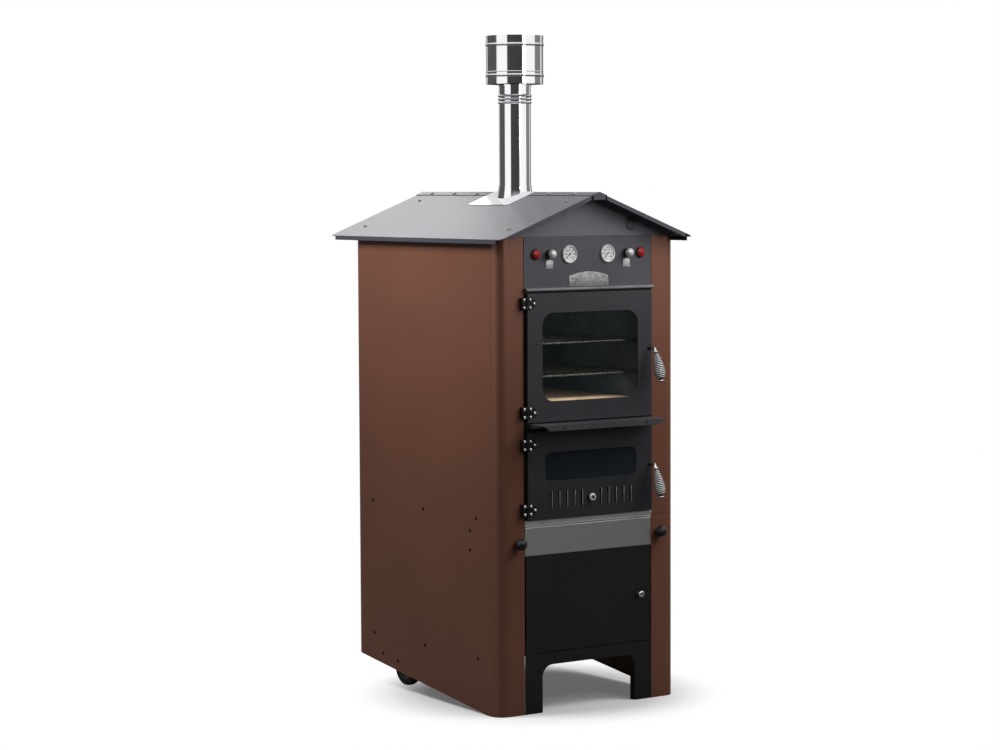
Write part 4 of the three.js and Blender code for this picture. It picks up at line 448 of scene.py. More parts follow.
bright_zinc = surface("bright_zinc", "b4b4b0", "8f8f8c", 0.3, metal=1.0, grain=700, cloud=60, bump=0.06)
roof_low, roof_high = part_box("roof_right_panel")
ridge_top = roof_high.z
eave_x = roof_high.x
eave_fold = 0.014
roof_slope = (ridge_top - (roof_low.z + eave_fold)) / eave_x
roof_screw_rows = [(x, y) for x in (0.074, 0.291) for y in (0.016, 0.862)]
roof_screw = turned_piece("roof_screw", [
    (0.0085, -0.0004), (0.0085, 0.0010), (0.0062, 0.0011), (0.0056, 0.0028), (0.0038, 0.0041),
    (0.0012, 0.0046),
], bright_zinc, sides=24)
for hand, side in hands:
    places = [(side * x, front_y + y, ridge_top - roof_slope * x) for x, y in roof_screw_rows]
    spread(roof_screw, f"roof_{hand}_screws", places, (side * roof_slope, 0, 1), "oven_body", "slate_paint")
cap_screw_x, cap_lift = 0.019, 0.0020
cap_screw_first, cap_screw_step = 0.047, 0.137
cap_screw_z = ridge_top - roof_slope * cap_screw_x + cap_lift
cap_screw_rows = [front_y + cap_screw_first + cap_screw_step * i for i in (0, 1, 4, 5, 6)]
for hand, side in hands:
    spread(
        roof_screw, f"ridge_cap_{hand}_screws",
        [(side * cap_screw_x, y, cap_screw_z) for y in cap_screw_rows],
        (side * roof_slope, 0, 1), "oven_body", "slate_paint",
    )

# Gable badge: a bare pressed disc with a raised rim, on the right of the front gable.
# It is dull dark steel, stuck flat on the gable's sheet.
badge_x, badge_z = 0.1685, 1.533
badge_steel = surface("badge_steel", "5e5e61", "3c3c3f", 0.4, metal=0.7, grain=800, cloud=50)
badge = turned_piece("gable_badge", [
    (0.022, -0.0003), (0.022, 0.0022), (0.0205, 0.0030), (0.0185, 0.0028), (0.0175, 0.0014),
    (0.010, 0.0012), (0.0004, 0.0013),
], badge_steel)
gable_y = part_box("front_gable")[0].y
put(badge, (badge_x, gable_y, badge_z), (0, -1, 0))
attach(badge, "oven_body")

# Flue: a polished stainless pipe with a beaded joint and a lengthwise seam, open at both ends.
# It comes up through a mirror-bright saddle that covers the hole in the ridge.
def block_piece(name, size, place, material, turn=0.0, ease=0.0, ease_steps=1, cuts=0):
    """A short flat length of metal at its place, with its edges eased, or cut across into fields."""
    bpy.ops.object.select_all(action="DESELECT")
    bpy.ops.mesh.primitive_cube_add(size=1)
    piece = bpy.context.object
    piece.name = name
    piece.scale = size
    piece.rotation_euler = (0, 0, turn)
    piece.location = place
    settle()
    open_mesh()
    if ease:
        bpy.ops.mesh.bevel(offset=ease, segments=ease_steps)
    if cuts:
        bpy.ops.mesh.subdivide(number_cuts=cuts)
    bpy.ops.object.mode_set(mode="OBJECT")
    piece.data.materials.append(material)
    return piece


def beaded(radius, height, rise, half, shoulder, round_share):
    """The five rings of one pressed bead round a pipe."""
    return [
        (radius, height - half), (radius + rise * round_share, height - shoulder), (radius + rise, height),
        (radius + rise * round_share, height + shoulder), (radius, height + half),
    ]


def round_flue(radius, turn):
    """A point at a distance and a bearing from the flue's middle line."""
    return pipe_x + radius * math.cos(turn), pipe_y + radius * math.sin(turn)


mirror_steel = surface(
    "mirror_steel", "f6f6f8", "ececef", 0.06,
    metal=1.0, grain=60, stretch=(1, 1, 0.15), cloud=4, bump=0.02, spread=0.025,
)
pipe_low, pipe_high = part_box("flue_pipe")
pipe_x, pipe_y = 0.0, (pipe_low.y + pipe_high.y) / 2
pipe_wall = 0.0015
bead_rise, bead_half, bead_shoulder, bead_roundness = 0.0035, 0.0045, 0.0025, 0.7
pipe_radius = (pipe_high.x - pipe_low.x) / 2 - bead_rise
pipe_inner = pipe_radius - pipe_wall
bead_heights = [1.9225, 1.9335, 1.9445]
pipe_rings = [(pipe_inner, pipe_low.z), (pipe_radius, pipe_low.z)]
for bead in bead_heights:
    pipe_rings += beaded(pipe_radius, bead, bead_rise, bead_half, bead_shoulder, bead_roundness)
pipe_rings += [(pipe_radius, pipe_high.z), (pipe_inner, pipe_high.z), (pipe_inner, pipe_low.z)]
pipe = put(turned_piece("flue_pipe_polished", pipe_rings, mirror_steel, sides=96), (pipe_x, pipe_y, 0))
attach(pipe, "oven_body")
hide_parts("flue_pipe")
smooth_copy("flue_flashing", mirror_steel, angle=25)

seam_wide, seam_thick, seam_long, seam_out = 0.0045, 0.0010, 0.235, 0.0002
seam_angle = math.radians(-3)
seam_middle = bead_heights[0] - bead_half - seam_long / 2
seam = block_piece(
    "flue_seam", (seam_wide, seam_thick, seam_long),
    (*round_flue(pipe_radius + seam_out, seam_angle), seam_middle), mirror_steel,
    turn=seam_angle + math.pi / 2,
)
ease_edges(seam, 0.0004)
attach(seam, "oven_body")

# Cowl: a beaded sleeve round the pipe's mouth with spot-welded brackets, and a rain disc inside it.
# All of it is the pipe's polished stainless, and its welds show as three short rows of dots.
cowl_low, cowl_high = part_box("flue_cowl")
cowl_bead, cowl_wall, cowl_foot = 0.0025, 0.002, 0.006
cowl_radius = (cowl_high.x - cowl_low.x) / 2 - cowl_bead
cowl_bottom = cowl_low.z + cowl_foot
cowl_inner = cowl_radius - cowl_wall
cowl_fine_bead = [(cowl_radius, 2.0202), (cowl_radius + 0.0013, 2.0218), (cowl_radius, 2.0234)]
cowl_rings = [(cowl_inner, cowl_bottom), (cowl_radius, cowl_bottom)]
cowl_bead_shape = (cowl_bead, 0.005, 0.0028, 0.75)
lower_bead_z, upper_bead_z = 2.0095, 2.1085
cowl_rings += beaded(cowl_radius, lower_bead_z, *cowl_bead_shape) + cowl_fine_bead
cowl_rings += beaded(cowl_radius, upper_bead_z, *cowl_bead_shape)
cowl_rings += [(cowl_radius + 0.0008, cowl_high.z), (cowl_inner, cowl_high.z), (cowl_inner, cowl_bottom)]
cowl = put(turned_piece("cowl_sleeve", cowl_rings, mirror_steel, sides=96), (pipe_x, pipe_y, 0))
rain_disc = put(turned_piece("cowl_rain_disc", [
    (0.0005, 2.0985), (0.040, 2.0983), (0.070, 2.0970), (0.072, 2.0965), (0.072, 2.0958),
    (0.040, 2.0962), (0.0005, 2.0964),
], mirror_steel, sides=64), (pipe_x, pipe_y, 0))
neck_inner, neck_radius = 0.0526, 0.0545
neck_low, neck_high = 1.976, 2.014
neck = put(turned_piece("cowl_neck", [
    (neck_inner, neck_low), (neck_radius, neck_low), (neck_radius, neck_high), (neck_inner, neck_high),
    (neck_inner, neck_low),
], mirror_steel, sides=72), (pipe_x, pipe_y, 0))
third_of_round = 120
first_bracket_turn, bracket_z = 90, 1.998
bracket_thick, bracket_tall = 0.0018, 0.026
stay_radius, stay_foot, stay_top = 0.064, 2.008, 2.0965
stay_thick, stay_wide = 0.002, 0.014
brackets = []
for i in range(3):
    turn = math.radians(first_bracket_turn + third_of_round * i)
    bracket_place = (*round_flue((neck_radius + cowl_inner) / 2, turn), bracket_z)
    brackets.append(block_piece(
        f"cowl_bracket_{i + 1}", (cowl_inner - neck_radius, bracket_thick, bracket_tall),
        bracket_place, mirror_steel, turn=turn, cuts=2,
    ))
    stay_place = (*round_flue(stay_radius, turn), (stay_top + stay_foot) / 2)
    brackets.append(block_piece(
        f"cowl_stay_{i + 1}", (stay_thick, stay_wide, stay_top - stay_foot),
        stay_place, mirror_steel, turn=turn, ease=0.0006,
    ))
for piece in (cowl, rain_disc, neck, *brackets):
    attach(piece, "oven_body")
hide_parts("flue_cowl")
first_weld_turn = -66
weld_heights = (2.080, 2.090, 2.100)
weld_dot = turned_piece("weld_dot", [
    (0.0024, -0.0004), (0.0024, 0.0004), (0.0014, 0.0011), (0.0004, 0.0013),
], bright_zinc, sides=16)
for i in range(3):
    turn = math.radians(first_weld_turn + third_of_round * i)
    places = [(*round_flue(cowl_radius, turn), z) for z in weld_heights]
    spread(
        weld_dot, f"cowl_weld_dots_{i + 1}", places,
        (math.cos(turn), math.sin(turn), 0), "oven_body", "mirror_stainless",
    )

# Control panel: a charcoal sheet with a rounded ledge along its foot.
# The ledge is painted paler than the sheet, a painted highlight of the light from above, and is made
# glossier.
panel_coat = surface("panel_coat", "545459", "4b4b51", 0.4, grain=1500, cloud=4, bump=0.08)
panel = smooth_copy("control_panel", panel_coat, edge=0.0005)
ledge_painted_highlight = surface("ledge_painted_highlight", "8a8a90", "6c6c72", 0.30, grain=1500, cloud=9, bump=0.08)
panel.data.materials.append(ledge_painted_highlight)
panel_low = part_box("control_panel")[0]
ledge_height, ledge_depth, ledge_tilt = 0.0112, 0.012, -0.3
# The ledge's faces take the paler second slot, the painted highlight.
for face in panel.data.polygons:
    low = face.center.z < panel_low.z + ledge_height
    forward = face.center.y < panel_low.y + ledge_depth
    if low and forward and face.normal.z > ledge_tilt:
        face.material_index = 1

# Gauges: a bright bezel and a white printed dial under a domed glass, with a black needle.
# Each case is one turned piece with its rim on the panel and its body behind it.
def glass(name, colour, rough, cover, scale, detail, span=(0, 1), ior=1.5):
    """Clear glass under a film of dirt whose cover drifts between two shares."""
    made, tree, shader = shaded(name)
    film = noise(tree, shader_node(tree, "TexCoord").outputs["Object"], scale, detail)
    wire(tree, shader, {
        "Base Color": colour, "Roughness": rough, "IOR": ior, "Alpha": ramp(tree, film, span, cover),
    })
    return made


def middle_of(node):
    """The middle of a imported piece's box."""
    low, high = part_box(node)
    return (low + high) / 2


def on_panel(node):
    """The point of the panel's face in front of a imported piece."""
    middle = middle_of(node)
    return Vector((middle.x, panel_y, middle.z))


bright_chrome = surface(
    "bright_chrome", "e6e6e8", "d4d4d6", 0.10, metal=1.0, grain=500, cloud=30, bump=0.02, spread=0.03,
)
satin_nickel = surface(
    "satin_nickel", "f2f2f2", "e2e2e2", 0.26, metal=0.35, grain=500, cloud=30, bump=0.02, spread=0.03,
)
dial_white = surface("dial_white", "fbfbf9", "f1f1ee", 0.55, grain=1800, cloud=30, bump=0.02)
dial_black = surface("dial_black", "1b1b1d", "101012", 0.4, grain=900, cloud=60, bump=0.03)
clear_glass = glass("clear_glass", (0.98, 0.99, 1, 1), 0.02, (0.02, 0.06), 35, 2, ior=1.45)

panel_sheet = 0.002
panel_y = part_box("control_panel")[1].y - panel_sheet
dial_depth, print_lift = 0.0028, 0.0002
first_turn, full_turn = -135, 270
tick_count, ticks_to_number = 30, 5
tick_ring, number_ring = 0.0218, 0.0136
long_tick, short_tick = (0.0018, 0.0048, 0.0020), (0.0008, 0.0026, 0.0011)
number_size, number_drop = 0.0074, 0.0018
for hand in ("left", "right"):
    gauge_place = on_panel(f"{hand}_gauge")
    gauge = turned_piece(f"{hand}_gauge_case", [
        (0.024, -0.030), (0.024, 0.0003), (0.028, 0.0003), (0.028, 0.0042), (0.0272, 0.0056),
        (0.0258, 0.0062), (0.0246, 0.0058), (0.0240, 0.0045), (0.0240, dial_depth - 0.0003),
        (0.0010, dial_depth - 0.0003),
    ], satin_nickel, sides=64)
    dial = turned_piece(f"{hand}_dial", [
        (0.0238, dial_depth - 0.0002), (0.0238, dial_depth), (0.0225, dial_depth + 0.0001),
        (0.0010, dial_depth + 0.0001),
    ], dial_white, sides=64)
    marks = []
    for i in range(tick_count + 1):
        turn = math.radians(first_turn + full_turn * i / tick_count)
        tick_wide, tick_long, inwards = short_tick if i % ticks_to_number else long_tick
        bpy.ops.object.select_all(action="DESELECT")
        bpy.ops.mesh.primitive_plane_add(size=1)
        mark = bpy.context.object
        mark.scale = (tick_wide, tick_long, 1)
        mark.rotation_euler = (0, 0, -turn)
        mark.location = Vector((math.sin(turn), math.cos(turn), 0)) * (tick_ring - inwards)
        settle()
        marks.append(mark)
    for i in range(tick_count // ticks_to_number + 1):
        turn = math.radians(first_turn + full_turn * i * ticks_to_number / tick_count)
        foot = number_ring * math.cos(turn) - number_drop
        bpy.ops.object.text_add(location=(number_ring * math.sin(turn), foot, 0))
        number = bpy.context.object
        number.data.body = str(100 * i)
        number.data.size = number_size
        number.data.align_x = "CENTER"
        bpy.ops.object.convert(target="MESH")
        settle()
        marks.append(bpy.context.object)
    scale_print = join_all(marks, f"{hand}_dial_print")
    scale_print.data.materials.clear()
    scale_print.data.materials.append(dial_black)
    scale_print.rotation_euler = (math.pi / 2, 0, 0)
    scale_print.location = gauge_place - Vector((0, dial_depth + print_lift, 0))
    settle()
    lens = turned_piece(f"{hand}_gauge_glass", [
        (0.0240, 0.0052), (0.0236, 0.0058), (0.0180, 0.0062), (0.0100, 0.0063), (0.0008, 0.0063),
        (0.0008, 0.0061), (0.0180, 0.0060), (0.0236, 0.0055), (0.0240, 0.0052),
    ], clear_glass, sides=48)
    for piece in (gauge, dial, lens):
        put(piece, gauge_place, (0, -1, 0))
    for piece in (gauge, dial, scale_print, lens):
        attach(piece, "oven_body")
    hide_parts(f"{hand}_gauge")
    smooth_copy(f"{hand}_gauge_needle", dial_black)

# Turning knobs: a black plastic skirt with a polished domed cap of nickelled metal.
# Each is pushed on a spindle that comes through the panel.
black_plastic = surface("black_plastic", "1d1d1f", "111113", 0.35, grain=900, cloud=60, bump=0.04)
for hand in ("left", "right"):
    skirt = turned_piece(f"{hand}_knob_skirt", [
        (0.0035, -0.014), (0.0035, 0.0005), (0.0134, 0.0005), (0.0140, 0.0014), (0.0136, 0.0100),
        (0.0128, 0.0112), (0.0030, 0.0112),
    ], black_plastic, sides=48)
    cap = turned_piece(f"{hand}_knob_cap", [
        (0.0124, 0.0112), (0.0134, 0.0122), (0.0139, 0.0150), (0.0138, 0.0180), (0.0130, 0.0212),
        (0.0112, 0.0246), (0.0084, 0.0270), (0.0048, 0.0282), (0.0006, 0.0284),
    ], satin_nickel, sides=48, angle=50)
    for piece in (skirt, cap):
        put(piece, on_panel(f"{hand}_knob"), (0, -1, 0))
        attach(piece, f"{hand}_knob_body")
    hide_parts(f"{hand}_knob")

# Pilot lights: a black bezel round a domed red lens, both of plastic.
# Each is pushed into a round hole in the panel.
red_lens = surface("red_lens", "b8262a", "8c1518", 0.12, grain=300, cloud=160, bump=0.03)
for hand in ("left", "right"):
    bezel = turned_piece(f"{hand}_pilot_bezel", [
        (0.012, -0.026), (0.012, 0.0003), (0.0178, 0.0003), (0.0178, 0.0022), (0.0172, 0.0038),
        (0.0160, 0.0041), (0.0152, 0.0030), (0.0010, 0.0030),
    ], black_plastic, sides=48)
    lens = turned_piece(f"{hand}_pilot_lens", [
        (0.0152, 0.0030), (0.0152, 0.0052), (0.0140, 0.0080), (0.0112, 0.0100), (0.0070, 0.0110),
        (0.0005, 0.0113),
    ], red_lens, sides=48, angle=50)
    for piece in (bezel, lens):
        put(piece, on_panel(f"{hand}_pilot_light"), (0, -1, 0))
        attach(piece, "oven_body")
    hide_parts(f"{hand}_pilot_light")


# Bare plates on the panel: a small pressed one under each knob, and an arched one in the middle.
# They are cast pewter-grey metal without any lettering, the arched one held by two small rivets.
def arched_plate(name, half_width, low, shoulder, top, thick, material):
    """A plate with straight sides and an arched top, from the panel's face outwards."""
    bpy.ops.object.select_all(action="DESELECT")
    bpy.ops.mesh.primitive_circle_add(vertices=32, radius=1, fill_type="NGON")
    plate = bpy.context.object
    plate.name = name
    for vertex in plate.data.vertices:
        share = vertex.co.x
        arch = shoulder + (top - shoulder) * math.cos(share * math.pi / 2) ** 0.8
        vertex.co = (share * half_width, arch if vertex.co.y > 0.0001 else low, 0)
    open_mesh()
    bpy.ops.mesh.remove_doubles(threshold=0.00001)
    bpy.ops.mesh.select_all(action="SELECT")
    bpy.ops.mesh.extrude_region_move(TRANSFORM_OT_translate={"value": (0, 0, thick)})
    bpy.ops.mesh.select_all(action="SELECT")
    bpy.ops.mesh.normals_make_consistent(inside=False)
    bpy.ops.object.mode_set(mode="OBJECT")
    ease_edges(plate, thick * 0.45, steps=3)
    bpy.ops.object.shade_smooth_by_angle(angle=math.radians(35))
    plate.rotation_euler = (math.pi / 2, 0, 0)
    settle()
    plate.data.materials.append(material)
    return plate


pewter = surface("pewter", "c0c0c0", "868688", 0.36, metal=0.6, grain=380, cloud=110, bump=0.5)
bright_tin = surface("bright_tin", "f0f0f0", "8e8e92", 0.28, metal=0.4, grain=500, cloud=220, bump=0.3)
name_plate = arched_plate(
    "bare_panel_plate", half_width=0.078, low=1.3375, shoulder=1.369, top=1.384,
    thick=0.0024, material=pewter,
)
put(name_plate, (0, panel_y, 0))
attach(name_plate, "oven_body")
rivet_x, rivet_z, rivet_proud = 0.064, 1.3650, 0.0020
plate_rivet = turned_piece("plate_rivet", [
    (0.0030, -0.0002), (0.0030, 0.0006), (0.0024, 0.0015), (0.0012, 0.0021), (0.0003, 0.0022),
], bright_zinc, sides=20)
spread(
    plate_rivet, "bare_plate_rivets",
    [(side * rivet_x, panel_y - rivet_proud, rivet_z) for side in (-1, 1)],
    (0, -1, 0), "oven_body", "satin_stainless",
)
tag_x, tag_z, tag_half = 0.150, 1.409, 0.0135
for hand, side in hands:
    small_plate = arched_plate(
        f"{hand}_bare_tag", half_width=tag_half, low=-tag_half, shoulder=0.0085, top=tag_half,
        thick=0.0012, material=bright_tin,
    )
    put(small_plate, (side * tag_x, panel_y, tag_z))
    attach(small_plate, "oven_body")

# Front frame: black stove-enamelled plate that the doors close on.
# It stands between the front posts of the side casings, painted a darker black than the doors as painted
# shade from them.
stove_black = surface("stove_black", "3a3a3f", "323237", 0.38, grain=1300, cloud=5, bump=0.10)
# A darker copy of the doors' black: painted shade, on the frame behind the doors and on the low wood door
# and base.
black_with_painted_shade = surface("black_with_painted_shade", "161617", "111112", 0.46, grain=1300, cloud=5, bump=0.10)
smooth_copy("front_frame", black_with_painted_shade)

# Hinges: black steel leaves on the doors and blocks on the left post, held by bright domed cap screws.
# Each leaf narrows to a nose with one screw in it, beside two more near the pin.
# This black also serves as painted shade inside the handles' coil springs.
hinge_black_and_painted_shade = surface("hinge_black_and_painted_shade", "1c1c1e", "121214", 0.34, metal=0.3, grain=700, cloud=60, bump=0.12)
hinge_screw = turned_piece("hinge_screw", [
    (0.0050, -0.0004), (0.0050, 0.0016), (0.0046, 0.0031), (0.0034, 0.0041), (0.0022, 0.0044),
    (0.0020, 0.0028), (0.0004, 0.0028),
], bright_chrome, sides=24)
leaf_screw_x, nose_screw_x, leaf_screw_depth = -0.2350, -0.2195, 0.0047
block_screw_x, block_screw_proud = -0.2580, 0.0157
pair_half = 0.0125
block_x, block_size, block_gap = -0.25775, (0.0125, 0.0155, 0.039), 0.0003
for place_name, body in (
    ("oven_upper", "oven_door_body"), ("oven_lower", "oven_door_body"),
    ("firebox_upper", "firebox_door_body"), ("firebox_lower", "firebox_door_body"),
):
    leaf_low, leaf_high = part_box(f"{place_name}_hinge_leaf")
    smooth_copy(f"{place_name}_hinge_leaf", hinge_black_and_painted_shade, angle=50, edge=0.0005)
    leaf_z = (leaf_low.z + leaf_high.z) / 2
    leaf_face = leaf_low.y + leaf_screw_depth
    pair = [leaf_z - pair_half, leaf_z + pair_half]
    places = [(leaf_screw_x, leaf_face, z) for z in pair] + [(nose_screw_x, leaf_face, leaf_z)]
    spread(hinge_screw, f"{place_name}_leaf_screws", places, (0, -1, 0), body, "chrome")
    block = block_piece(
        f"{place_name}_hinge_block", block_size,
        (block_x, front_y - block_gap - block_size[1] / 2, leaf_z), hinge_black_and_painted_shade, ease=0.0018, ease_steps=3,
    )
    bpy.ops.object.shade_smooth_by_angle(angle=math.radians(40))
    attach(block, "oven_body")
    spread(
        hinge_screw, f"{place_name}_block_screws",
        [(block_screw_x, front_y - block_screw_proud, z) for z in pair],
        (0, -1, 0), "oven_body", "chrome",
    )

# Oven door: a folded black pan round a clear ceramic glass.
# The firebox door's glass is of the same kind, darker with soot.
smooth_copy("oven_door", stove_black, edge=0.0009)
for pane, soot_tone, cover in (
    ("oven_door_glass", (0.030, 0.036, 0.038, 1), (0.06, 0.14)),
    ("firebox_door_glass", (0.026, 0.036, 0.043, 1), (0.50, 0.64)),
):
    finish_node(pane, glass(pane + "_sooted", soot_tone, 0.04, cover, 9, 5, span=(0.3, 0.7)))


# Handles: a chromed rod through the door, bent down and out, with a drop-shaped coil spring for the hand.
# The spring stands between two small collars, so that the hand never touches the hot rod.
def handle_line(name, points, radius, material, resolution=10):
    """A round rod or wire along points, closed at both ends."""
    curve = bpy.data.curves.new(name, "CURVE")
    curve.dimensions = "3D"
    curve.bevel_depth = radius
    curve.bevel_resolution = resolution // 4
    curve.use_fill_caps = True
    line = curve.splines.new("POLY")
    line.points.add(len(points) - 1)
    for point, place in zip(line.points, points):
        point.co = (*place, 1)
    rod = bpy.data.objects.new(name, curve)
    bpy.context.scene.collection.objects.link(rod)
    pick(rod)
    bpy.ops.object.convert(target="MESH")
    rod = bpy.context.object
    open_mesh()
    bpy.ops.mesh.remove_doubles(threshold=0.000005)
    bpy.ops.mesh.normals_make_consistent(inside=False)
    bpy.ops.object.mode_set(mode="OBJECT")
    bpy.ops.object.shade_smooth_by_angle(angle=math.radians(50))
    rod.data.materials.clear()
    rod.data.materials.append(material)
    return rod


coil_chrome = surface(
    "coil_chrome", "fcfdff", "f2f5fa", 0.14, metal=0.45, grain=500, cloud=30, bump=0.02, spread=0.03,
)
door_face, door_back = -0.012, 0.002
handle_lean = math.radians(18)
handle_stand, handle_bend, bend_steps = 0.017, 0.012, 12
rod_radius, rod_past_coil = 0.0045, 0.0053
coil_start, coil_curls, coil_pitch, coil_wire = 0.008, 14, 0.00575, 0.0045
coil_least, coil_greatest, coil_greatest_share = 0.0077, 0.0181, 0.76
shown_wire, steps_in_curl = 0.0032, 20
painted_shade_facing = 0.1
tongue_size, tongue_top = (0.010, 0.0025, 0.031), 0.026
collar_height, slip = 0.0030, 0.0003
coil_reach = coil_wire * 1.2
coil_end = coil_start + coil_curls * coil_pitch + coil_reach * 2
side_way = Vector((1, 0, 0))
lean_way = Vector((0, -math.sin(handle_lean), -math.cos(handle_lean)))
depth_way = lean_way.cross(side_way)
bend_sweep = math.pi / 2 - handle_lean


def coil_radius(share):
    """The coil's radius at a share of its length, swelling and then falling like a drop's."""
    if share < coil_greatest_share:
        swell = math.sin(share / coil_greatest_share * math.pi / 2)
        return coil_least + (coil_greatest - coil_least) * swell
    rest = (share - coil_greatest_share) / (1 - coil_greatest_share)
    return coil_greatest + (coil_least - coil_greatest) * rest ** 2


for door in ("oven", "firebox"):
    handle_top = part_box(f"{door}_handle")[1].z
    pivot = Vector((middle_of(f"{door}_handle").x, front_y, handle_top - tongue_top))
    rod_points = [pivot + Vector((0, door_back + tongue_size[1], 0))]
    for i in range(bend_steps + 1):
        turn = bend_sweep * i / bend_steps
        forwards = handle_stand + handle_bend * math.sin(turn)
        rod_points.append(pivot + Vector((0, door_face - forwards, -handle_bend * (1 - math.cos(turn)))))
    bend_end = rod_points[-1]
    rod_points += [bend_end + lean_way * along for along in (coil_start, coil_end + rod_past_coil)]
    rod = handle_line(f"{door}_handle_rod", rod_points, rod_radius, bright_chrome, resolution=16)
    # Inside the coil the rod is painted black, a painted shade for the spring's dark inside.
    rod.data.materials.append(hinge_black_and_painted_shade)
    for face in rod.data.polygons:
        if (face.center - bend_end).dot(lean_way) > coil_start / 2:
            face.material_index = 1
    coil_points = []
    for i in range(coil_curls * steps_in_curl + 1):
        share = i / (coil_curls * steps_in_curl)
        turn = 2 * math.pi * i / steps_in_curl
        along = coil_start + coil_reach + share * coil_curls * coil_pitch
        outwards = side_way * math.cos(turn) + depth_way * math.sin(turn)
        coil_points.append(bend_end + lean_way * along + outwards * coil_radius(share))
    coil = handle_line(f"{door}_coil_wire", coil_points, shown_wire / 2, coil_chrome, resolution=12)
    # The coil wire's inward faces are painted black as well, painted shade inside the spring.
    coil.data.materials.append(hinge_black_and_painted_shade)
    for face in coil.data.polygons:
        from_bend = face.center - bend_end
        outwards = from_bend - lean_way * from_bend.dot(lean_way)
        if face.normal.dot(outwards.normalized()) < painted_shade_facing:
            face.material_index = 1
    collars = []
    for label, along in (("upper", coil_start - collar_height - slip), ("lower", coil_end + slip)):
        collar = turned_piece(f"{door}_handle_{label}_collar", [
            (0.0046, 0), (0.0098, 0), (0.0105, 0.0007), (0.0105, 0.0023), (0.0098, collar_height),
            (0.0046, collar_height),
        ], bright_chrome, sides=40)
        collars.append(put(collar, bend_end + lean_way * along, lean_way))
    boss = turned_piece(f"{door}_handle_boss", [
        (0.0089, 0.0003), (0.0089, 0.0023), (0.0078, 0.0033), (0.0046, 0.0036),
    ], hinge_black_and_painted_shade, sides=40)
    collars.append(put(boss, pivot + Vector((0, door_face, 0)), (0, -1, 0)))
    tongue_middle = Vector((0, door_back + slip + tongue_size[1] / 2, tongue_top - tongue_size[2] / 2))
    tongue = block_piece(
        f"{door}_latch_tongue", tongue_size, pivot + tongue_middle, bright_zinc, ease=0.0008, ease_steps=2,
    )
    for piece in (rod, coil, tongue, *collars):
        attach(piece, f"{door}_handle_body")
    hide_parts(f"{door}_handle")
    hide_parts(f"{door}_handle_coil")

# Firebox door: the same black pan with a low window and ten air slots.
# A steel shutter with a round knob slides behind the slots to set the draught.
firebox_black = surface("firebox_black", "2c2c30", "26262a", 0.42, grain=1300, cloud=5, bump=0.10)
smooth_copy("firebox_door", firebox_black, edge=0.0007)
shutter_steel = surface(
    "shutter_steel", "8d8d8a", "6f6f6c", 0.34,
    metal=0.9, grain=500, stretch=(0.2, 1, 1), cloud=30, bump=0.05,
)
smooth_copy("air_shutter", shutter_steel, angle=50)
shutter_low, shutter_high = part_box("air_shutter")
shutter_middle_z = (shutter_low.z + shutter_high.z) / 2
shutter_knob = turned_piece("shutter_knob_cap", [
    (0.0084, -0.0088), (0.0124, -0.0060), (0.0127, -0.0045), (0.0124, -0.0028), (0.0108, -0.0008),
    (0.0086, 0.0003), (0.0064, 0.0004), (0.0050, -0.0002), (0.0044, -0.0001), (0.0004, 0.0003),
], satin_nickel, sides=48, angle=50)
knob_screw = turned_piece("shutter_knob_screw", [
    (0.0046, -0.0010), (0.0046, 0.0006), (0.0038, 0.0012), (0.0020, 0.0013), (0.0018, 0.0007),
    (0.0003, 0.0007),
], black_zinc, sides=32)
for piece in (shutter_knob, knob_screw):
    put(piece, (0, shutter_low.y, shutter_middle_z), (0, -1, 0))
    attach(piece, "air_shutter_body")
slot_steel = surface("slot_steel", "c8c8ce", "a6a6ac", 0.34, metal=0.3, grain=900, cloud=60, bump=0.05)
slot_lip = turned_piece("slot_lip", [
    (0.0003, -0.0262), (0.0008, -0.0258), (0.0011, -0.0250), (0.0011, 0.0250), (0.0008, 0.0258),
    (0.0003, 0.0262),
], slot_steel, sides=16, angle=50)
first_slot, slots_a_side = 0.037, 5
shutter_margin = 0.013
lip_from_slot, lip_inset = 0.0042, 0.0002
slot_pitch = (shutter_high.x - shutter_margin - first_slot) / (slots_a_side - 1)
slot_places = [side * (first_slot + slot_pitch * i) for side in (-1, 1) for i in range(slots_a_side)]
spread(
    slot_lip, "air_slot_lips",
    [(x + lip_from_slot, front_y + door_face + lip_inset, shutter_middle_z) for x in slot_places],
    (0, 0, 1), "firebox_door_body", "black_paint",
)

# Shelf between the doors: folded charcoal sheet with tapered ends, screwed to the front frame.
# Two flat dark screws show in its front edge.
shelf_coat = surface("shelf_coat", "4b4b4f", "404044", 0.36, grain=1300, cloud=6, bump=0.10)
smooth_copy("door_shelf", shelf_coat, edge=0.0005)
shelf_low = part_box("door_shelf")[0]
shelf_screw_x, shelf_screw_rise = 0.160, 0.0095
shelf_screw = turned_piece("shelf_screw", [
    (0.0044, -0.0006), (0.0044, 0.0001), (0.0036, 0.0004), (0.0018, 0.0005), (0.0016, -0.0002),
    (0.0004, -0.0002),
], black_zinc, sides=24)
spread(
    shelf_screw, "shelf_screws",
    [(side * shelf_screw_x, shelf_low.y, shelf_low.z + shelf_screw_rise) for side in (-1, 1)],
    (0, -1, 0), "oven_body", "panel_paint",
)

# Baking chamber: a stainless box darkened by heat, with two wire racks on ledges and a refractory slab.
# The slab keeps its pale clay colour at its front edge, where light through the door's window falls, and is
# painted darker farther in, a painted shade.
heat_steel = surface(
    "heat_steel", "5f6b6d", "485355", 0.46, metal=0.4, grain=240, cloud=9, bump=0.05, spread=0.08,
)
finish_node("baking_chamber", heat_steel)
fire_clay = surface("fire_clay", "e6cba2", "cfae86", 0.9, grain=500, cloud=18, bump=0.5, spread=0.05)
finish_node("baking_stone", fire_clay)
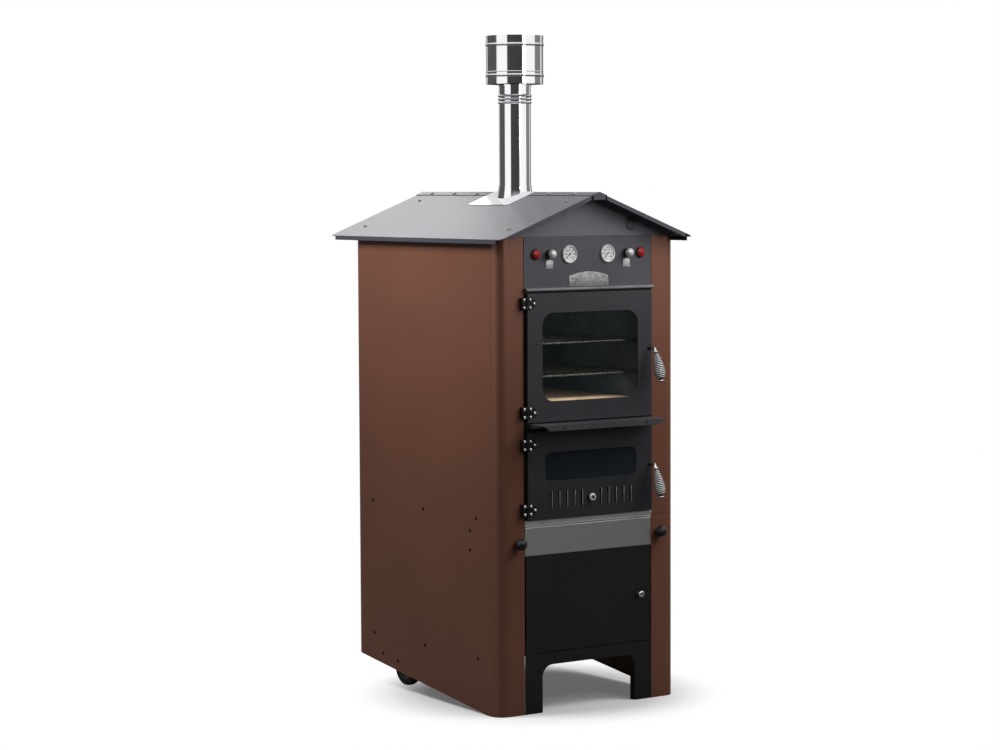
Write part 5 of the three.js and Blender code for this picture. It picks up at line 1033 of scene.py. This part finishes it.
# Painted shade on the slab: from this depth inwards its colour goes over to a dark grey.
painted_shade_from, painted_shade_full, painted_shade_cover = 0.100, 0.160, 0.85
clay_tree = fire_clay.node_tree
clay = clay_tree.nodes["Principled BSDF"]
place = shader_node(clay_tree, "TexCoord").outputs["Object"]
depth = shader_node(clay_tree, "SeparateXYZ", {0: place}).outputs["Y"]
painted_shade_span = (slab_low.y + painted_shade_from, slab_low.y + painted_shade_full)
painted_shade_share = ramp(clay_tree, depth, painted_shade_span, (0, painted_shade_cover), "SMOOTHSTEP")
plain_clay = clay.inputs["Base Color"].links[0].from_socket
wire(clay_tree, clay, {"Base Color": blend(clay_tree, painted_shade_share, plain_clay, tone("4a4541"))})
rack_wire = surface("rack_wire", "a2a2a0", "767674", 0.28, metal=0.9, grain=300, cloud=40, bump=0.04)
for rack in ("lower_rack", "upper_rack"):
    smooth_copy(rack, rack_wire, angle=60)

# Firebox: a cast iron box with a slotted grate, over a folded ash pan.
# The jacket round the chamber and the cart's inner sheets are galvanised, like the pan.
cast_iron = surface(
    "cast_iron", "3a3836", "232120", 0.72, metal=0.4, grain=350, cloud=25, bump=0.7, spread=0.1,
)
for iron in ("firebox", "fire_grate"):
    finish_node(iron, cast_iron)
for sheet_name in ("ash_pan", "smoke_jacket", "cart_top_plate", "drawer_deck", "wood_compartment_floor"):
    finish_node(sheet_name, galvanised)

# Seam strip and drawer front: brushed stainless with hemmed edges, the hems made non-metallic so that they
# show as bright lines, a painted highlight along the folds.
# The strip is screwed on over the seam between the cart and the oven.
brushed = surface(
    "brushed_stainless", "dcdcda", "d0d0ce", 0.34,
    metal=0.9, grain=2600, stretch=(0.02, 1, 1), cloud=3, bump=0.03, spread=0.04,
)
strip_steel = surface(
    "strip_steel", "ecece8", "dededa", 0.36,
    metal=0.9, grain=2600, stretch=(0.02, 1, 1), cloud=3, bump=0.03, spread=0.04,
)
smooth_copy("seam_strip", strip_steel, edge=0.0004)
smooth_copy("drawer", brushed, edge=0.0011)
strip_low, strip_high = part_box("seam_strip")
drawer_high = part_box("drawer")[1]
hem_height, hem_fade = 0.0036, 0.0006
brushed_metal, painted_highlight_metal = 0.9, 0
far_below = -1
# Each hem is a pale non-metal band instead of steel: a painted highlight along the fold.
for steel, low, high in (
    (strip_steel, strip_low.z, strip_high.z), (brushed, far_below, drawer_high.z),
):
    tree = steel.node_tree
    place = shader_node(tree, "TexCoord").outputs["Object"]
    height = shader_node(tree, "SeparateXYZ", {0: place}).outputs["Z"]
    from_middle = maths(tree, "ABSOLUTE", maths(tree, "SUBTRACT", height, (low + high) / 2))
    hem_start = (high - low) / 2 - hem_height
    hem = ramp(tree, from_middle, (hem_start, hem_start + hem_fade), (brushed_metal, painted_highlight_metal))
    wire(tree, tree.nodes["Principled BSDF"], {"Metallic": hem})
strip_screw_x, strip_screw_z, strip_fold = 0.182, 0.602, 0.0012
spread(
    plate_rivet, "seam_strip_screws",
    [(side * strip_screw_x, strip_low.y + strip_fold, strip_screw_z) for side in (-1, 1)],
    (0, -1, 0), "oven_body", "satin_stainless",
)

# Wood compartment door and arched base: plain black sheet in the darker black, a painted shade for their low
# place, the door with a round knob.
# The knob is turned and chromed, on a short neck.
smooth_copy("wood_door", black_with_painted_shade, edge=0.0008)
smooth_copy("base_front_panel", black_with_painted_shade, edge=0.0005)
wood_low, wood_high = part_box("wood_door")
wood_knob_inset = 0.048
wood_knob_place = (wood_high.x - wood_knob_inset, front_y, (wood_low.z + wood_high.z) / 2)
wood_knob = turned_piece("wood_door_knob", [
    (0.0060, -0.0004), (0.0060, 0.0105), (0.0085, 0.0125), (0.0108, 0.0150), (0.0113, 0.0172),
    (0.0104, 0.0195), (0.0078, 0.0208), (0.0040, 0.0211), (0.0004, 0.0211),
], bright_chrome, sides=48, angle=50)
put(wood_knob, wood_knob_place, (0, -1, 0))
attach(wood_knob, "wood_door_body")

# Wheels: a grey rubber tread on a pale grey hub, each on an axle in a galvanised fork.
# Both are turned, and the tread is stretched over the hub's rim.
tread_rubber = surface("tread_rubber", "37383a", "28292b", 0.75, grain=700, cloud=40, bump=0.3)
hub_grey = surface("hub_grey", "b7b8b8", "9c9d9d", 0.5, grain=500, cloud=40, bump=0.06)
for hand, side in hands:
    wheel_low, wheel_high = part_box(f"{hand}_wheel")
    wheel_radius = (wheel_high.z - wheel_low.z) / 2
    tread = turned_piece(f"{hand}_tread", [
        (0.0420, -0.0140), (0.0565, -0.0140), (0.0605, -0.0122), (0.0620, -0.0080), (wheel_radius, 0),
        (0.0620, 0.0080), (0.0605, 0.0122), (0.0565, 0.0140), (0.0420, 0.0140), (0.0420, -0.0140),
    ], tread_rubber, sides=72, angle=50)
    hub = turned_piece(f"{hand}_hub", [
        (0.0064, -0.0170), (0.0135, -0.0170), (0.0142, -0.0162), (0.0172, -0.0088), (0.0370, -0.0080),
        (0.0392, -0.0140), (0.0418, -0.0140), (0.0418, 0.0140), (0.0392, 0.0140), (0.0370, 0.0080),
        (0.0172, 0.0088), (0.0142, 0.0162), (0.0135, 0.0170), (0.0064, 0.0170), (0.0064, -0.0170),
    ], hub_grey, sides=64)
    for piece in (tread, hub):
        put(piece, (wheel_low + wheel_high) / 2, (side, 0, 0))
        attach(piece, f"{hand}_wheel_body")
    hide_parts(f"{hand}_wheel")
    smooth_copy(f"{hand}_wheel_fork", galvanised, angle=40)

# Lifting bars: steel bars that slide out of the front posts, each with a black ball knob.
# A wider stop at the inner end keeps each bar in its post.
ball_neck, bar_radius, stop_radius, stop_length = 0.0068, 0.0070, 0.0110, 0.0120
for hand in ("left", "right"):
    bar_low, bar_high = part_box(f"{hand}_pull_bar")
    ball_radius = (bar_high.x - bar_low.x) / 2
    ball_middle = Vector((bar_low.x, bar_low.y, (bar_low.z + bar_high.z) / 2))
    ball_middle += Vector((ball_radius, ball_radius, 0))
    ball_rings = [(ball_neck, -ball_radius * 0.97)] + [
        (max(ball_radius * math.cos(math.radians(a)), 0.0004), ball_radius * math.sin(math.radians(a)))
        for a in range(-68, 91, 6)
    ]
    ball = turned_piece(f"{hand}_ball_knob", ball_rings, black_plastic, sides=56, angle=50)
    put(ball, ball_middle, (0, -1, 0))
    bar_end = bar_high.y - ball_middle.y
    bar = turned_piece(f"{hand}_lifting_bar", [
        (0.0062, 0), (bar_radius, 0.0008), (bar_radius, bar_end - stop_length),
        (stop_radius, bar_end - stop_length), (stop_radius, bar_end - 0.0010), (0.0100, bar_end),
    ], bright_zinc, sides=40)
    put(bar, ball_middle, (0, 1, 0))
    for piece in (ball, bar):
        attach(piece, f"{hand}_pull_bar_body")
    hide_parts(f"{hand}_pull_bar")

# The patterns that were copied go away.
for pattern in (side_screw, roof_screw, weld_dot, plate_rivet, hinge_screw, shelf_screw, slot_lip):
    bpy.data.objects.remove(pattern)
